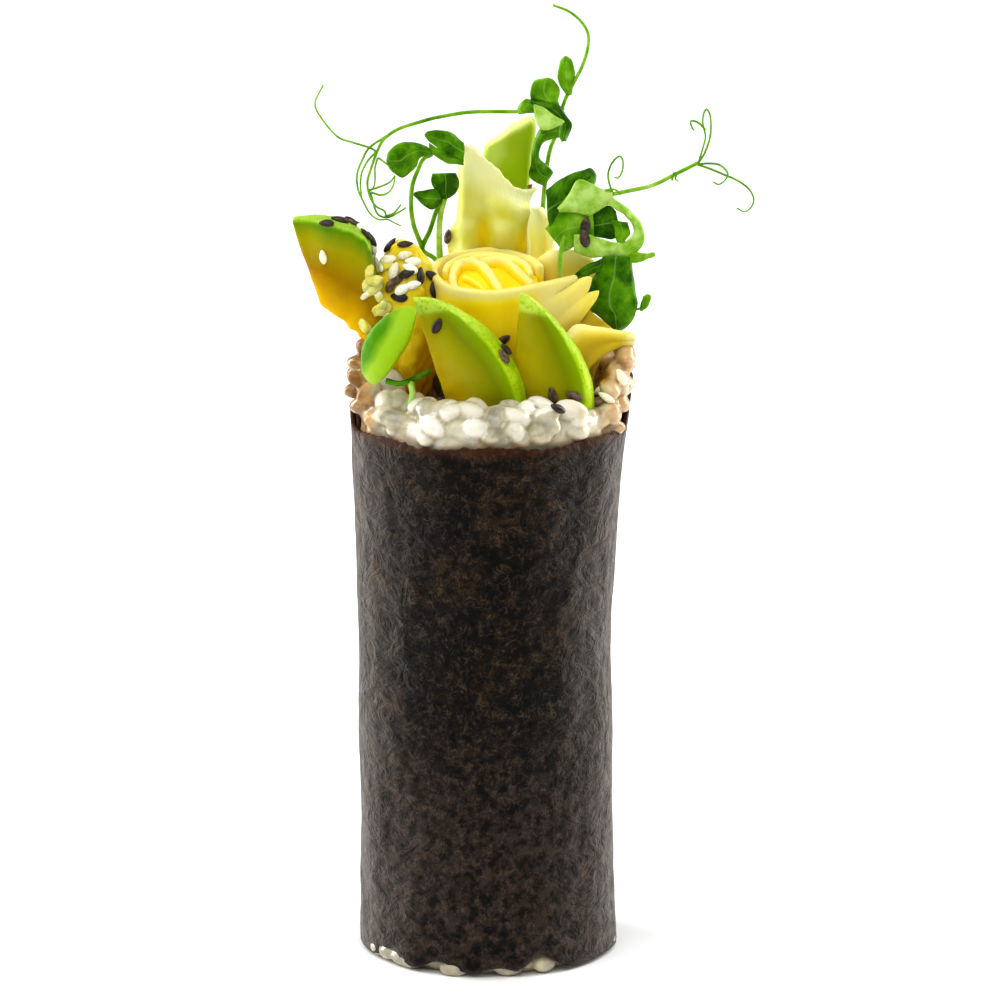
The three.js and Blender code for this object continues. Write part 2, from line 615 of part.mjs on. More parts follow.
function shootTop() {
  return [
    stalk([[9, 17, 109.5], [9.2, 17, 120], [9.9, 16.6, 138], [11, 13.6, 150], [12.5, 11, 155.3],
      [14, 8, 161.9], [17.4, 7, 169], [18.5, 6.4, 173.8], [17.6, 6, 176.8], [15, 5, 179.4],
      [11.8, 4, 180.9]], STALK, TENDRIL, 14),
    blade([[[14.6, 164.8], [13.2, 167], [12.9, 168.9], [13.2, 171.2], [14, 172.2]], [[15.2, 165.2], [15.7,
      167.6], [15.8, 169.7], [15.3, 171.4], [14.4, 172.2]]], [7.6, 6.6], -0.6),
    blade([[[12.1, 162.7], [10, 163.5], [7.9, 164.3], [7.7, 166.2], [8.7, 167.6], [10.6, 168]], [[13.2,
      162.5], [12.7, 163.9], [13, 165.4], [12.9, 166.6], [12.1, 167.6], [11, 168]]], [8.5, 7], -0.8),
    blade([[[7.5, 164.2], [10.8, 163.5], [12.9, 162.7], [14.2, 161.1], [15.2, 159.4], [14.7, 157.5], [14.2,
      156.1]], [[7.7, 163.4], [9.8, 162.3], [11.9, 161.1], [13.4, 159.8], [13.2, 158.4], [13.2, 157.3], [13.8,
      156.1]]], [7.6, 6], -0.7, LEAF_THICKNESS, 2, 5),
    blade([[[8, 163.7], [9.8, 162.7], [11.9, 161.3], [14, 159.8]], [[8.3, 162.1], [8.7, 160.4], [10, 158.2],
      [13.6, 159.4]]], [7.2, 5.2], -0.4),
    blade([[[5.3, 162.1], [5.9, 163.3], [6.8, 164.3], [8.1, 163.5]], [[5.5, 161.5], [6.6, 161.8], [7.6,
      162.1], [8.7, 162.9]]], [9, 7.4], -0.3),
    blade([[[13.6, 157.1], [11.7, 156.8], [10, 156.1], [9.3, 154.5], [9.4, 153], [10.6, 152], [11.9,
      150.5]], [[13.2, 159.4], [11.2, 159.2], [9.3, 158.4], [8.3, 155.3], [7.7, 152.2], [7.6, 149.5], [10.4,
      147.9]]], [8.6, 14.4], -0.5, LEAF_THICKNESS, 2, 7),
    stalk([[14, 8.6, 160.6], [10.4, 8.6, 160.1], [5.7, 8.4, 159.9], [-3.7, 6.2, 160.2], [-10.9, 5.7, 159.1]],
      STALK * 0.8, STALK * 0.7, 5, 4),
    stalk([[-10.2, 6, 159.2], [-13.2, 4, 158.7], [-17, 2, 157.8], [-19.7, 0, 156.3], [-21, -1, 154.2],
      [-22.1, -2, 151.3], [-22.9, -2, 148.4], [-22.5, -2, 145.9], [-21.4, -1.6, 143.8], [-19.8, -1.4, 142.8],
      [-19.3, -1.2, 141.4]], STALK * 0.7, TENDRIL, 12, 4),
    stalk([[-19.4, 0.3, 156.7], [-22.5, -1, 154.8], [-23.8, -2, 152.7], [-24.8, -2.4, 150.1], [-24.7, -2.4,
      147.3], [-23.8, -2.2, 145], [-22.5, -1.8, 142.5], [-21, -1.4, 141.2], [-19.1, -1.2, 141.1], [-17.8, -1,
      140.4], [-16.6, -1, 139.9]], TENDRIL, TENDRIL, 10, 4),
    stalk([[-21.2, -1, 154], [-22.5, -1.2, 154.8], [-25.5, -2, 155.9], [-28.4, -2, 157], [-31.2, -1, 160],
      [-32.7, 1, 162.7], [-31.2, 3, 165.9]], TENDRIL, TENDRIL, 8, 4),
    stalk([[-22.3, -1.8, 146.4], [-21.5, -1, 143.1], [-20.6, -0.6, 141.7], [-18.9, -0.4, 141.4], [-17.2, 0,
      142.2], [-15.7, 0.4, 143.1]], TENDRIL, TENDRIL, 6, 4),
  ];
}

function shootLeft() {
  return [
    stalk([[-9.8, 10.6, TOPPING_FOOT], [-10, 10.6, 120], [-9.8, 10.6, 129.9], [-12.5, 9.4, 132.9], [-13.1,
      8.4, 134.7], [-14.3, 7, 138.2], [-14.8, 6.4, 141.4], [-14.8, 6, 144.6], [-14.4, 5.8, 147], [-13.4, 5.8,
      149.5], [-12.5, 5.8, 151.3], [-10.8, 5.8, 152.2]], STALK, STALK * 0.8, 12),
    stalk([[-13.2, 7.8, 131.4], [-12.7, 8.6, 134.1], [-11.3, 8, 137.3], [-10.2, 7.4, 140.8], [-8.9, 7.2,
      143.5]], STALK, STALK * 0.8, 6),
    stalk([[-9.4, 9, 129.9], [-9.6, 8.6, 136.2], [-9.3, 7.8, 140.3], [-8.5, 7.2, 143.5]], STALK, STALK, 4),
    blade([[[-11.2, 154.3], [-13.4, 155.5], [-15.9, 155.8], [-17.8, 155.1], [-18.9, 153.8], [-19.3, 152.4]],
      [[-11, 153.4], [-13.2, 153], [-14, 151.2], [-16.3, 149.2], [-18.3, 150.3], [-19.3, 151.8]]], [5.8, 3],
      -1),
    blade([[[-4.9, 155.7], [-7.2, 157.6], [-9.4, 158.2], [-11.3, 158], [-12.2, 157.5]], [[-4.9, 152.4],
      [-7.2, 153.3], [-8.9, 154.2], [-10.8, 155.5], [-12.1, 156.9]]], [6.5, 5.6], -0.5),
    blade([[[-11.5, 155.5], [-9.3, 154.5], [-7.2, 153.6], [-4.9, 152.8]], [[-11.3, 154], [-9.6, 152.8],
      [-7.9, 151.9], [-4.9, 151.6]]], [5.8, 6.4], 0.1),
    blade([[[-8.9, 144.8], [-10, 146.6], [-10.8, 147.9], [-10.8, 149.9]], [[-7.7, 145.4], [-6.6, 146.4],
      [-5.7, 148.3], [-6.4, 149.9]]], [7.4, 6.2], -0.5),
    blade([[[-9.3, 144.6], [-10.8, 143.2], [-12.5, 143.9], [-14.2, 145.6]], [[-9.4, 145.8], [-10.6, 146.9],
      [-12.5, 146.5], [-14.2, 146.1]]], [7.2, 4.4], -0.6),
  ];
}

function shootRight() {
  return [
    stalk([[13.4, 4.4, TOPPING_FOOT], [13.4, 4.4, 118], [13.2, 4.4, 130], [13.8, 4.6, 136], [15.6, 5.4, 141],
      [22, 5.4, 144.3], [30.1, 4, 146.5], [34.7, 3, 148.9], [39.1, 2.2, 151.3]], STALK, STALK * 0.7, 12),
    stalk([[23.2, 5, 144.8], [22.5, 4.6, 146.7], [22.2, 4.4, 148.7], [22.8, 4.4, 150.6], [23.8, 4.6, 151.8],
      [24.5, 4.8, 152], [25, 5, 151], [24.9, 5.4, 149.2], [24.2, 5.6, 147.8], [23.4, 5.8, 147.8]], TENDRIL,
      TENDRIL, 8, 4),
    stalk([[39.1, 2.4, 151.3], [40.3, 2, 153.3], [41.2, 2, 156], [41.4, 2, 158.3], [41.2, 2, 160.5], [40.5,
      2, 161.5], [40, 2.4, 160.4], [39.9, 2.8, 158.6], [40.4, 3, 156.2], [39.9, 2.8, 153.9], [39.1, 2.4,
      151.3]], TENDRIL, TENDRIL, 11, 4),
    stalk([[39.1, 2.2, 151], [40.8, 2, 151.2], [42.7, 1.6, 151.1], [44, 1.4, 150.3], [44.6, 1.4, 149.2],
      [44, 1.6, 148], [42.9, 2, 147.2], [41.9, 2.4, 147.6]], TENDRIL, TENDRIL, 8, 4),
    stalk([[38.7, 2.3, 151], [41.2, 2, 150.2], [43.8, 2, 149.1], [46.5, 2, 147.9], [48.6, 2, 146.3], [49.5,
      2, 144.4], [49, 2, 142.8], [47.8, 2, 142], [46.3, 2, 142.7]], TENDRIL, TENDRIL, 8, 4),
    blade([[[10.4, 146.4], [12.9, 148.5], [15.7, 150], [18.3, 150.9], [19.7, 150.9]], [[11.2, 139.4], [13.8,
      140.8], [16.4, 143.7], [18.5, 146.4], [20.2, 148.7]]], [5.4, 9], -1.2),
    blade([[[12.7, 143.1], [15.1, 146.2], [16.8, 148.7], [19.1, 147.9], [21.4, 146.8], [22.9, 146.4]],
      [[12.9, 142.7], [15.7, 142.5], [18.5, 141.9], [20.8, 142.9], [22.1, 143.9], [23.1, 145.2]]], [3.6, 5.2],
      -0.5),
    blade([[[10.4, 139.4], [12.9, 142.5], [15.9, 142.7], [19.3, 142.3]], [[13.8, 134.9], [15.5, 135.7],
      [17.4, 136.9], [19.7, 137.7]]], [5.2, 4.8], -0.5),
    blade([[[18.5, 141.3], [20, 142.7], [22.3, 143.7], [23.8, 142.5]], [[18.5, 138.2], [20.8, 137.7], [22.9,
      137.3], [24.2, 138.2]]], [6, 5.2], -0.5),
    blade([[[20.8, 146.2], [24.2, 144.4], [26.5, 142.5], [28.2, 140.4], [29, 138], [28.4, 135.7], [26.6,
      134], [24.2, 133.2], [21.4, 134], [18.9, 133.8], [15.9, 134.9]], [[21.2, 144.4], [23.1, 143.5], [25.1,
      142.3], [26.6, 140.8], [27.2, 139], [26.6, 137.7], [25.3, 136.7], [23.1, 136.7], [20.8, 137.5], [18.3,
      138.2], [15.7, 138]]], [4.8, 3.2], -0.3, LEAF_THICKNESS, 1, 12),
    blade([[[24.2, 136.3], [23.4, 138.6], [22.9, 141]], [[25.3, 136.7], [26.3, 138.6], [25.9, 140.4]]],
      [3.8, 4.6], -0.3),
    blade([[[26.1, 135.1], [28.4, 134.6], [31.1, 134.4]], [[26.1, 132.6], [28.7, 133.1], [31.1, 134]]],
      [3.8, 2.6], -0.2),
    blade([[[21.4, 134], [19.7, 130.1], [18, 126.6], [17.6, 124.4], [20, 123.1], [21.9, 121.3], [23.4,
      119.4]], [[26.3, 133.8], [27, 130.1], [27.2, 127.7], [27.8, 125], [27.2, 122.3], [25.9, 120.8], [24.6,
      119.4]]], [3.8, 5.2], -1.3, LEAF_THICKNESS, 2, 6),
    blade([[[21.2, 133.6], [18, 132], [15.7, 130.1], [13.8, 127.2]], [[20.8, 131], [18.9, 130.5], [16.8,
      128.5], [14.7, 127]]], [3.8, 3], -0.2),
    stalk([[26.4, 4.4, 122.6], [27.8, 4.4, 122.3], [28.9, 4.4, 122.6]], TENDRIL, TENDRIL, 3, 4),
    blade([[[28.4, 123], [28.5, 124.5], [28.9, 125.8], [29.6, 126]], [[28.7, 123.1], [29.6, 123.9], [30.3,
      124.9], [30.2, 125.8]]], [4.4, 4.2], -0.1),
  ];
}

function shootFront() {
  return [
    stalk([[-19.4, -16.4, 113.5], [-16.6, -16.4, 113], [-13.8, -15.8, 113.9], [-11.2, -14.6, 115]],
      STALK * 1.2, STALK * 0.9, 6),
    stalk([[-14.8, -16, 113.4], [-14.4, -16.4, 111], [-15, -16.8, 108.6]], STALK * 1.3, STALK, 5),
  ];
}

// The pieces, the ones that keep their whole shape first

place("nori", NORI, nori());
place("avocado_front", AVOCADO, [slice([-14.3, -12.4, 128.6], [-1.5, -11.2, 88.5], [0.95, -0.2, 0.25],
  13.5, 9, 3.5, 0.62)]);
place("avocado_right", AVOCADO, [slice([5.8, -12, 129.5], [2, -7.8, 88], [0.95, -0.16, 0.1],
  14.4, 7.4, 3.5)]);
place("avocado_side", AVOCADO, [slice([-13.6, -15.4, 127.4], [-22.2, -11.5, 112], [-0.45, -0.85, 0.2],
  4.5, 8.5, 5, 0.55)]);
const chunkBody = chunk();
place("avocado_left", AVOCADO, [chunkBody, ...seedsOn(chunkBody, AVOCADO_SEEDS, seeded(731))]);
place("ginger_rose", GINGER, [rose()]);
place("ginger_rose_heart", GINGER, roseHeart());
place("ginger_tall", GINGER, [tallSlice()]);
const foldBody = fold();
place("ginger_fold", GINGER, [foldBody, ...seedsOn(foldBody, FOLD_SEEDS, seeded(96))]);
place("avocado_back", AVOCADO, [block(BACK_OUTLINE, 16.4, 5.2, 1.4)]);
place("ginger_curl", GINGER, [blade([[[6.8, 107.9], [6.8, 124.6], [6.8, 134.3], [7, 139.8], [7.9, 143.9]],
  [[11.7, 107.9], [11.7, 124.6], [11.7, 134.3], [12.7, 139.8], [9.6, 143.5]]], [11.6, 13], 0.9,
  GINGER_THICKNESS, 4, 5)]);
place("ginger_behind", GINGER, [blade([[[9.6, 107.2], [8.5, 124.6], [8.1, 132], [11.5, 135.5]], [[15.9,
  107.2], [18.5, 124.6], [20.2, 132], [16.4, 135.3]]], [8, 9], -1.2, GINGER_THICKNESS, 4, 5)]);
place("ginger_fan_upper", GINGER, [blade([[[14.4, 106], [14.7, 114.9], [15.7, 121.1], [18.1, 124.1]],
  [[19.3, 106], [20.4, 113], [22.5, 117.7], [24, 119.4]]], [1.6, 3], -0.6, GINGER_THICKNESS, 4, 5)]);
place("ginger_fan_lower", GINGER, [blade([[[12.5, 106], [13.6, 115.9], [15.7, 120.2], [19.3, 119.8], [23.1,
  119.2], [27.2, 118.6]], [[17.8, 106], [18.3, 111.4], [19.8, 113.4], [21.5, 114.9], [24, 116.7], [27.2,
  117.4]]], [-5, -1], -1.2, GINGER_THICKNESS, 4, 5)]);
place("shoot_right", SHOOT, shootRight());
place("shoot_top", SHOOT, shootTop());
place("shoot_left", SHOOT, shootLeft());
place("shoot_front", SHOOT, shootFront());
place("rice", RICE, rice());

export default roll;
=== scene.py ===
# A temaki hand roll: nori rolled round sushi rice, with avocado, folded ginger, pea shoots and
# sesame standing in its open top.

import json
import math
import random

import bpy
from mathutils import Matrix, Vector, noise
from mathutils.bvhtree import BVHTree
from mathutils.kdtree import KDTree

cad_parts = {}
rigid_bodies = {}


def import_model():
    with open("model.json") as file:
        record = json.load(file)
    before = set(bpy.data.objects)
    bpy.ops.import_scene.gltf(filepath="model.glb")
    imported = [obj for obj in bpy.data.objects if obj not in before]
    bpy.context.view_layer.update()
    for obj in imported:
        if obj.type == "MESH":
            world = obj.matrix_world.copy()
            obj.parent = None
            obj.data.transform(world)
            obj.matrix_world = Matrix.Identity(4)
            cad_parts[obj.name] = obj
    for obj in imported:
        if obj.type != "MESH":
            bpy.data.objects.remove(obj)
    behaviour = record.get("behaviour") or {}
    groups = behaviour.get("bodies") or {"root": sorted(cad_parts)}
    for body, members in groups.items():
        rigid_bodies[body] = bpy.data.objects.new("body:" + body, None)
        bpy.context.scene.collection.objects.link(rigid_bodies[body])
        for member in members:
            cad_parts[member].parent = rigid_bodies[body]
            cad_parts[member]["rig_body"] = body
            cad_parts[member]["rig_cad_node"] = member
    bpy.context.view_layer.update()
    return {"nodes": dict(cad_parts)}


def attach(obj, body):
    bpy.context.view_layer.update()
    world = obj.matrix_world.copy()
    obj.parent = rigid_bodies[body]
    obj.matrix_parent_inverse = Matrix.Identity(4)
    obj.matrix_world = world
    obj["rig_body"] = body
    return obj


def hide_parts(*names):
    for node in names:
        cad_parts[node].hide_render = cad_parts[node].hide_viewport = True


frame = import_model()

MM = 0.001


# Camera, floor and lights
# The roll stands on a plain white table. A broad soft light comes from above and in front, with
# an even white room all round.

LOOK_AT = Vector((0.0019, 0, 0.0869))
CAMERA_DISTANCE = 1.5
CAMERA_RISE = math.radians(13.1)
CAMERA_LENS = 285.7
SCREEN_GAMMA = 0.88
BACKDROP = 1.05
KEY_ENERGY = 1.75
KEY_SPREAD = math.radians(70)
SIDE_ENERGY = 9
SIDE_AIM = Vector((0, 0, 0.08))

bpy.ops.object.select_all(action="DESELECT")
camera_place = LOOK_AT + CAMERA_DISTANCE * Vector((0, -math.cos(CAMERA_RISE), math.sin(CAMERA_RISE)))
bpy.ops.object.camera_add(location=camera_place, rotation=(math.pi / 2 - CAMERA_RISE, 0, 0))
camera = bpy.context.object
camera.data.lens = CAMERA_LENS
camera.data.sensor_width = 36
bpy.context.scene.camera = camera

bpy.context.scene.view_settings.view_transform = "Standard"
bpy.context.scene.view_settings.gamma = SCREEN_GAMMA


def srgb(red, green, blue):
    """A colour given as 0 to 255 on a screen, as Blender's linear colour."""
    def linear(part):
        part /= 255
        return part / 12.92 if part <= 0.04045 else ((part + 0.055) / 1.055) ** 2.4
    return (linear(red), linear(green), linear(blue), 1)


def grey(value):
    return (value, value, value, 1)


def node(tree, kind, sockets=None, **settings):
    """Adds a node. A socket is given a value, or another node's output to be linked to."""
    made = tree.nodes.new(kind)
    for name, value in settings.items():
        setattr(made, name, value)
    for name, value in (sockets or {}).items():
        if isinstance(value, bpy.types.NodeSocket):
            tree.links.new(value, made.inputs[name])
        else:
            made.inputs[name].default_value = value
    return made


def new_material(name):
    """An empty material and its node tree."""
    material = bpy.data.materials.new(name)
    material.use_nodes = True
    material.node_tree.nodes.clear()
    return material, material.node_tree


def surface(tree, sockets):
    """Ends a material with its Principled shader. A socket is a value or another node's output."""
    principled = node(tree, "ShaderNodeBsdfPrincipled", sockets)
    node(tree, "ShaderNodeOutputMaterial", {"Surface": principled.outputs["BSDF"]})


def ramp(tree, factor, *stops):
    """The colour of a ramp with any number of stops, each a place and a colour."""
    made = node(tree, "ShaderNodeValToRGB", {"Fac": factor})
    elements = made.color_ramp.elements
    while len(elements) < len(stops):
        elements.new(0.5)
    for element, (place, colour) in zip(elements, stops):
        element.position = place
        element.color = colour
    return made.outputs["Color"]


def remap(tree, value, low, high, start=0.0, end=1.0):
    """Stretches the range from low to high over the range from start to end, and stops at its ends."""
    return node(tree, "ShaderNodeMapRange", {0: value, 1: low, 2: high, 3: start, 4: end}).outputs[0]


bpy.ops.mesh.primitive_circle_add(vertices=96, radius=12, fill_type="NGON")
floor = bpy.context.object
floor.name = "floor"
table, tree = new_material("white_table")
speckle = node(tree, "ShaderNodeTexNoise", {"Scale": 9})
surface(tree, {"Roughness": 0.9,
               "Base Color": ramp(tree, speckle.outputs["Fac"], (0, grey(0.88)), (1, grey(0.92)))})
floor.data.materials.append(table)

world = bpy.data.worlds.new("white_room")
bpy.context.scene.world = world
world.use_nodes = True
room = world.node_tree
room.nodes.clear()
compass = node(room, "ShaderNodeTexCoord")
rise = node(room, "ShaderNodeSeparateXYZ", {0: compass.outputs["Generated"]}).outputs["Z"]
soft = node(room, "ShaderNodeBackground", {"Color": grey(1), "Strength": remap(room, rise, -0.1, 0.75, 0.15, 0.7)})
bright = node(room, "ShaderNodeBackground", {"Color": grey(1), "Strength": BACKDROP})
ray_kind = node(room, "ShaderNodeLightPath")
either = node(room, "ShaderNodeMixShader", {0: ray_kind.outputs["Is Camera Ray"], 1: soft.outputs[0],
                                            2: bright.outputs[0]})
node(room, "ShaderNodeOutputWorld", {"Surface": either.outputs[0]})

bpy.ops.object.light_add(type="SUN", rotation=(math.radians(30), math.radians(-14), 0))
key = bpy.context.object
key.name = "key_light"
key.data.energy = KEY_ENERGY
key.data.angle = KEY_SPREAD

for side, name in ((-1, "side_light_left"), (1, "side_light_right")):
    bpy.ops.object.light_add(type="AREA", location=(side * 0.75, 0.35, 0.3))
    strip = bpy.context.object
    strip.name = name
    strip.rotation_euler = (SIDE_AIM - strip.location).to_track_quat("-Z", "Y").to_euler()
    strip.data.shape = "RECTANGLE"
    strip.data.size, strip.data.size_y = 0.35, 1.0
    strip.data.energy = SIDE_ENERGY


# Nori
# One half sheet of dried seaweed, rolled one turn and a quarter. It is pressed from fine fibres
# and has gone damp and slightly wrinkled where it holds the rice. Its free edge lies at the back.

SHEET_TURNS = 1.25
SHEET_THICKNESS = 0.7
LAYER_PITCH = 1.0
FLAP_DEGREES = 100
FLAP_ANGLE = math.radians(FLAP_DEGREES)
RIM_FRONT = 102.4
HEM_FOOT = 0.8
HEM_LIFTS = ((-140, 2.6), (-113, 1.9), (-86, 1.1), (-66, 3.3), (20, 2), (74, 1.6), (150, 2))


def smoothstep(value, low, high):
    share = min(max((value - low) / (high - low), 0), 1)
    return share * share * (3 - 2 * share)


def mix(low, high, share):
    return low + (high - low) * share


def bell(value, width):
    """1 at 0, falling softly away on both sides."""
    return math.exp(-(value / width) ** 2)


def round_point(angle, radius, height):
    return Vector((radius * math.cos(angle), radius * math.sin(angle), height))


def roll_radius(height):
    foot = max(0, 1 - height / 36)
    mouth = max(0, (height - 50) / 60)
    return 23.95 + 0.45 * foot * foot + 2.9 * mouth * mouth


def on_roll(angle, radius, height):
    """A point of the roll, which leans out a little to the left at half height."""
    lean = -0.7 * math.sin(math.pi * height / 100)
    return Vector((lean + radius * math.cos(angle), radius * math.sin(angle), height))


def rim_rise(angle):
    return smoothstep(math.sin(angle), -0.24, 0.02) * (5.3 + 3 * math.cos(angle))


def hem(angle):
    """Height of the nori's bottom edge, which lifts where grains of rice show under it."""
    most = 0
    for degrees, lift in HEM_LIFTS:
        away = math.atan2(math.sin(angle - math.radians(degrees)), math.cos(angle - math.radians(degrees)))
        most = max(most, lift * bell(away, math.radians(8)))
    return HEM_FOOT + most


def wrinkle(angle, height):
    """How far the damp sheet stands in or out of its even roll."""
    around = round_point(angle, 24, height * 0.45)
    slack = noise.noise(around * 0.13) * 0.35 + noise.noise(around * 0.42 + Vector((7, 0, 0))) * 0.16
    return 0.12 * math.sin(3 * angle + height / 14) + 0.1 * math.sin(5 * angle - height / 11) + slack


def pick(*pieces):
    """Selects these pieces and nothing else, with the first one active."""
    bpy.ops.object.select_all(action="DESELECT")
    for piece in pieces:
        piece.select_set(True)
    if pieces:
        bpy.context.view_layer.objects.active = pieces[0]


def primitive(add, name, **sizes):
    """Adds one of Blender's basic shapes under a name."""
    pick()
    add(**sizes)
    piece = bpy.context.object
    piece.name = piece.data.name = name
    return piece


def patch(name, across, along, place):
    """A flat grid, moved point by point to place(u, v), which gives millimetres."""
    piece = primitive(bpy.ops.mesh.primitive_grid_add, name, x_subdivisions=across, y_subdivisions=along, size=2)
    for point in piece.data.vertices:
        point.co = place((point.co.x + 1) / 2, (point.co.y + 1) / 2) * MM
    return piece


def apply_modifier(piece, kind, **settings):
    pick(piece)
    modifier = piece.modifiers.new(kind.lower(), kind)
    for name, value in settings.items():
        setattr(modifier, name, value)
    bpy.ops.object.modifier_apply(modifier=modifier.name)
    return piece


def thicken(piece, thickness, rounds=0):
    """Gives a sheet its thickness, and rounds its edges by subdividing it."""
    apply_modifier(piece, "SOLIDIFY", thickness=thickness * MM, offset=0)
    if rounds:
        apply_modifier(piece, "SUBSURF", levels=rounds, render_levels=rounds)
    return piece


def set_attribute(piece, name, value_of):
    """Stores a number at each point of a piece, for its material to read."""
    layer = piece.data.attributes.get(name) or piece.data.attributes.new(name, "FLOAT", "POINT")
    for point in piece.data.vertices:
        layer.data[point.index].value = value_of(point.co / MM)


def finish_piece(piece, material, slot, *nodes):
    """Smooths a piece, gives it its material, and puts it in the place of its CAD nodes."""
    pick(piece)
    bpy.ops.object.shade_smooth()
    piece.data.materials.clear()
    piece.data.materials.append(material)
    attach(piece, "root")
    if nodes:
        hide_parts(*nodes)
    return piece


def nori_point(u, v):
    turned = u * SHEET_TURNS
    angle = FLAP_ANGLE + turned * 2 * math.pi
    ragged = noise.noise(round_point(angle, 30, 3)) * 0.5
    top = RIM_FRONT + rim_rise(angle) + 0.4 * math.sin(7 * angle) + ragged
    height = mix(hem(angle), top, v)
    radius = roll_radius(height) + LAYER_PITCH * (0.5 - turned) - SHEET_THICKNESS / 2
    return on_roll(angle, radius + wrinkle(angle, height), height)


def blend(tree, share, low, high, kind="MIX"):
    """Mixes two colours by a share."""
    return node(tree, "ShaderNodeMix", {0: share, 6: low, 7: high}, data_type="RGBA", blend_type=kind).outputs[2]


def maths(tree, operation, first, second=0.0):
    return node(tree, "ShaderNodeMath", {0: first, 1: second}, operation=operation).outputs[0]


def plus(tree, first, second):
    return maths(tree, "ADD", first, second)


def times(tree, first, second):
    return maths(tree, "MULTIPLY", first, second)


def object_place(tree):
    return node(tree, "ShaderNodeTexCoord").outputs["Object"]


def attribute(tree, name):
    return node(tree, "ShaderNodeAttribute", attribute_name=name).outputs["Fac"]


def cloud(tree, place, scale, detail=2.0, roughness=0.5, distortion=0.0):
    """Soft noise from 0 to 1."""
    return node(tree, "ShaderNodeTexNoise", {
        "Vector": place, "Scale": scale, "Detail": detail, "Roughness": roughness,
        "Distortion": distortion}).outputs["Fac"]


def bump(tree, height, strength, distance, **under):
    """A normal with fine relief on it, laid over the normal under it if one is given."""
    return node(tree, "ShaderNodeBump", {"Strength": strength, "Distance": distance, "Height": height,
                                         **under}).outputs["Normal"]


def new_group(name, inputs, outputs):
    """A node group whose sockets are all numbers. It returns the tree, its inputs and its output node."""
    tree = bpy.data.node_groups.new(name, "ShaderNodeTree")
    for title, start in inputs.items():
        tree.interface.new_socket(title, in_out="INPUT", socket_type="NodeSocketFloat").default_value = start
    for title in outputs:
        tree.interface.new_socket(title, in_out="OUTPUT", socket_type="NodeSocketFloat")
    return tree, tree.nodes.new("NodeGroupInput").outputs, tree.nodes.new("NodeGroupOutput")


def grouped(tree, group, **values):
    """Places a group and returns its outputs."""
    return node(tree, "ShaderNodeGroup", values, node_tree=group).outputs


def thin_line(tree, distance, width):
    """1 where the distance is 0, down to 0 where it reaches the width."""
    return maths(tree, "SUBTRACT", 1.0, maths(tree, "MINIMUM", maths(tree, "DIVIDE", distance, width), 1.0))


def strands_group():
    """Fine curved fibres: thin lines where a stretched noise crosses its middle."""
    tree, given, out = new_group("strands", {"Scale": 200.0, "Stretch": 0.4, "Width": 0.02}, ["Mask"])
    squash = node(tree, "ShaderNodeCombineXYZ", {0: 1.0, 1: 1.0, 2: given["Stretch"]})
    scaled = node(tree, "ShaderNodeVectorMath", {0: object_place(tree), 1: squash.outputs[0]},
                  operation="MULTIPLY")
    fibres = cloud(tree, scaled.outputs[0], given["Scale"], 3.0, 0.62, 0.9)
    away = maths(tree, "ABSOLUTE", maths(tree, "SUBTRACT", fibres, 0.5))
    tree.links.new(thin_line(tree, away, given["Width"]), out.inputs["Mask"])
    return tree


STRANDS = strands_group()


def nori_material():
    """Nearly black and brown, greyer low down, with painted shade in the low patches of its relief and a painted
    sheen: the base colour is lightened where the sheet and its wrinkles turn away from the camera.
    """
    material, tree = new_material("nori_sheet")
    place = object_place(tree)
    patches = cloud(tree, place, 420.0, 6.0, 0.72)
    ground = ramp(tree, cloud(tree, place, 75.0, 6.0, 0.65, 0.5),
                  (0.36, srgb(1, 0, 0)), (0.5, srgb(17, 9, 2)), (0.62, srgb(54, 36, 19)))
    height = node(tree, "ShaderNodeSeparateXYZ", {0: place}).outputs[2]
    ground = blend(tree, remap(tree, height, 0.055, 0.025, 0.0, 0.8), ground, srgb(60, 47, 42))
    coarse = grouped(tree, STRANDS, Scale=150.0, Stretch=0.9, Width=0.02)["Mask"]
    fine = grouped(tree, STRANDS, Scale=520.0, Stretch=0.9, Width=0.035)["Mask"]
    hair = times(tree, maths(tree, "MAXIMUM", times(tree, coarse, 0.7), fine), patches)
    threaded = blend(tree, times(tree, hair, 0.7), ground, srgb(120, 100, 76))
    # Painted shade: the low patches of the relief are darkened nearly to black.
    dark = ramp(tree, patches, (0.42, grey(0.08)), (0.57, grey(1)))
    shaded = blend(tree, 1.0, threaded, dark, "MULTIPLY")
    flattened = node(tree, "ShaderNodeMapping", {"Vector": place, "Scale": (1.0, 1.0, 1.6)}).outputs[0]
    swells = bump(tree, cloud(tree, flattened, 150.0, 5.0, 0.62, 1.0), 1.0, 0.0024)
    # Painted sheen: where the sheet and its wrinkles turn away from the camera, the base colour is lightened
    # towards grey.
    turning = node(tree, "ShaderNodeLayerWeight", {"Blend": 0.5}).outputs["Facing"]
    rippled = node(tree, "ShaderNodeLayerWeight", {"Blend": 0.5, "Normal": swells}).outputs["Facing"]
    caught = times(tree, maths(tree, "POWER", rippled, 2.2), 1.7)
    sheen = times(tree, maths(tree, "POWER", turning, 1.3), plus(tree, caught, 0.06))
    shaded = blend(tree, maths(tree, "MINIMUM", sheen, 0.7), shaded, srgb(130, 122, 114))
    soaked = times(tree, attribute(tree, "edge"), times(tree, patches, 1.2))
    surface(tree, {
        "Base Color": blend(tree, soaked, shaded, srgb(96, 52, 26)),
        "Roughness": ramp(tree, patches, (0.35, grey(0.6)), (0.65, grey(0.34))),
        "Specular IOR Level": 0.12,
        "Normal": bump(tree, plus(tree, times(tree, hair, 0.6), patches), 0.7, 0.00045, Normal=swells)})
    return material


nori = patch("nori_sheet", 300, 84, nori_point)
set_attribute(nori, "edge", lambda here: smoothstep(
    here.z - RIM_FRONT - rim_rise(math.atan2(here.y, here.x)), -2.2, 0.3))
thicken(nori, SHEET_THICKNESS)
finish_piece(nori, nori_material(), "nori", "nori")
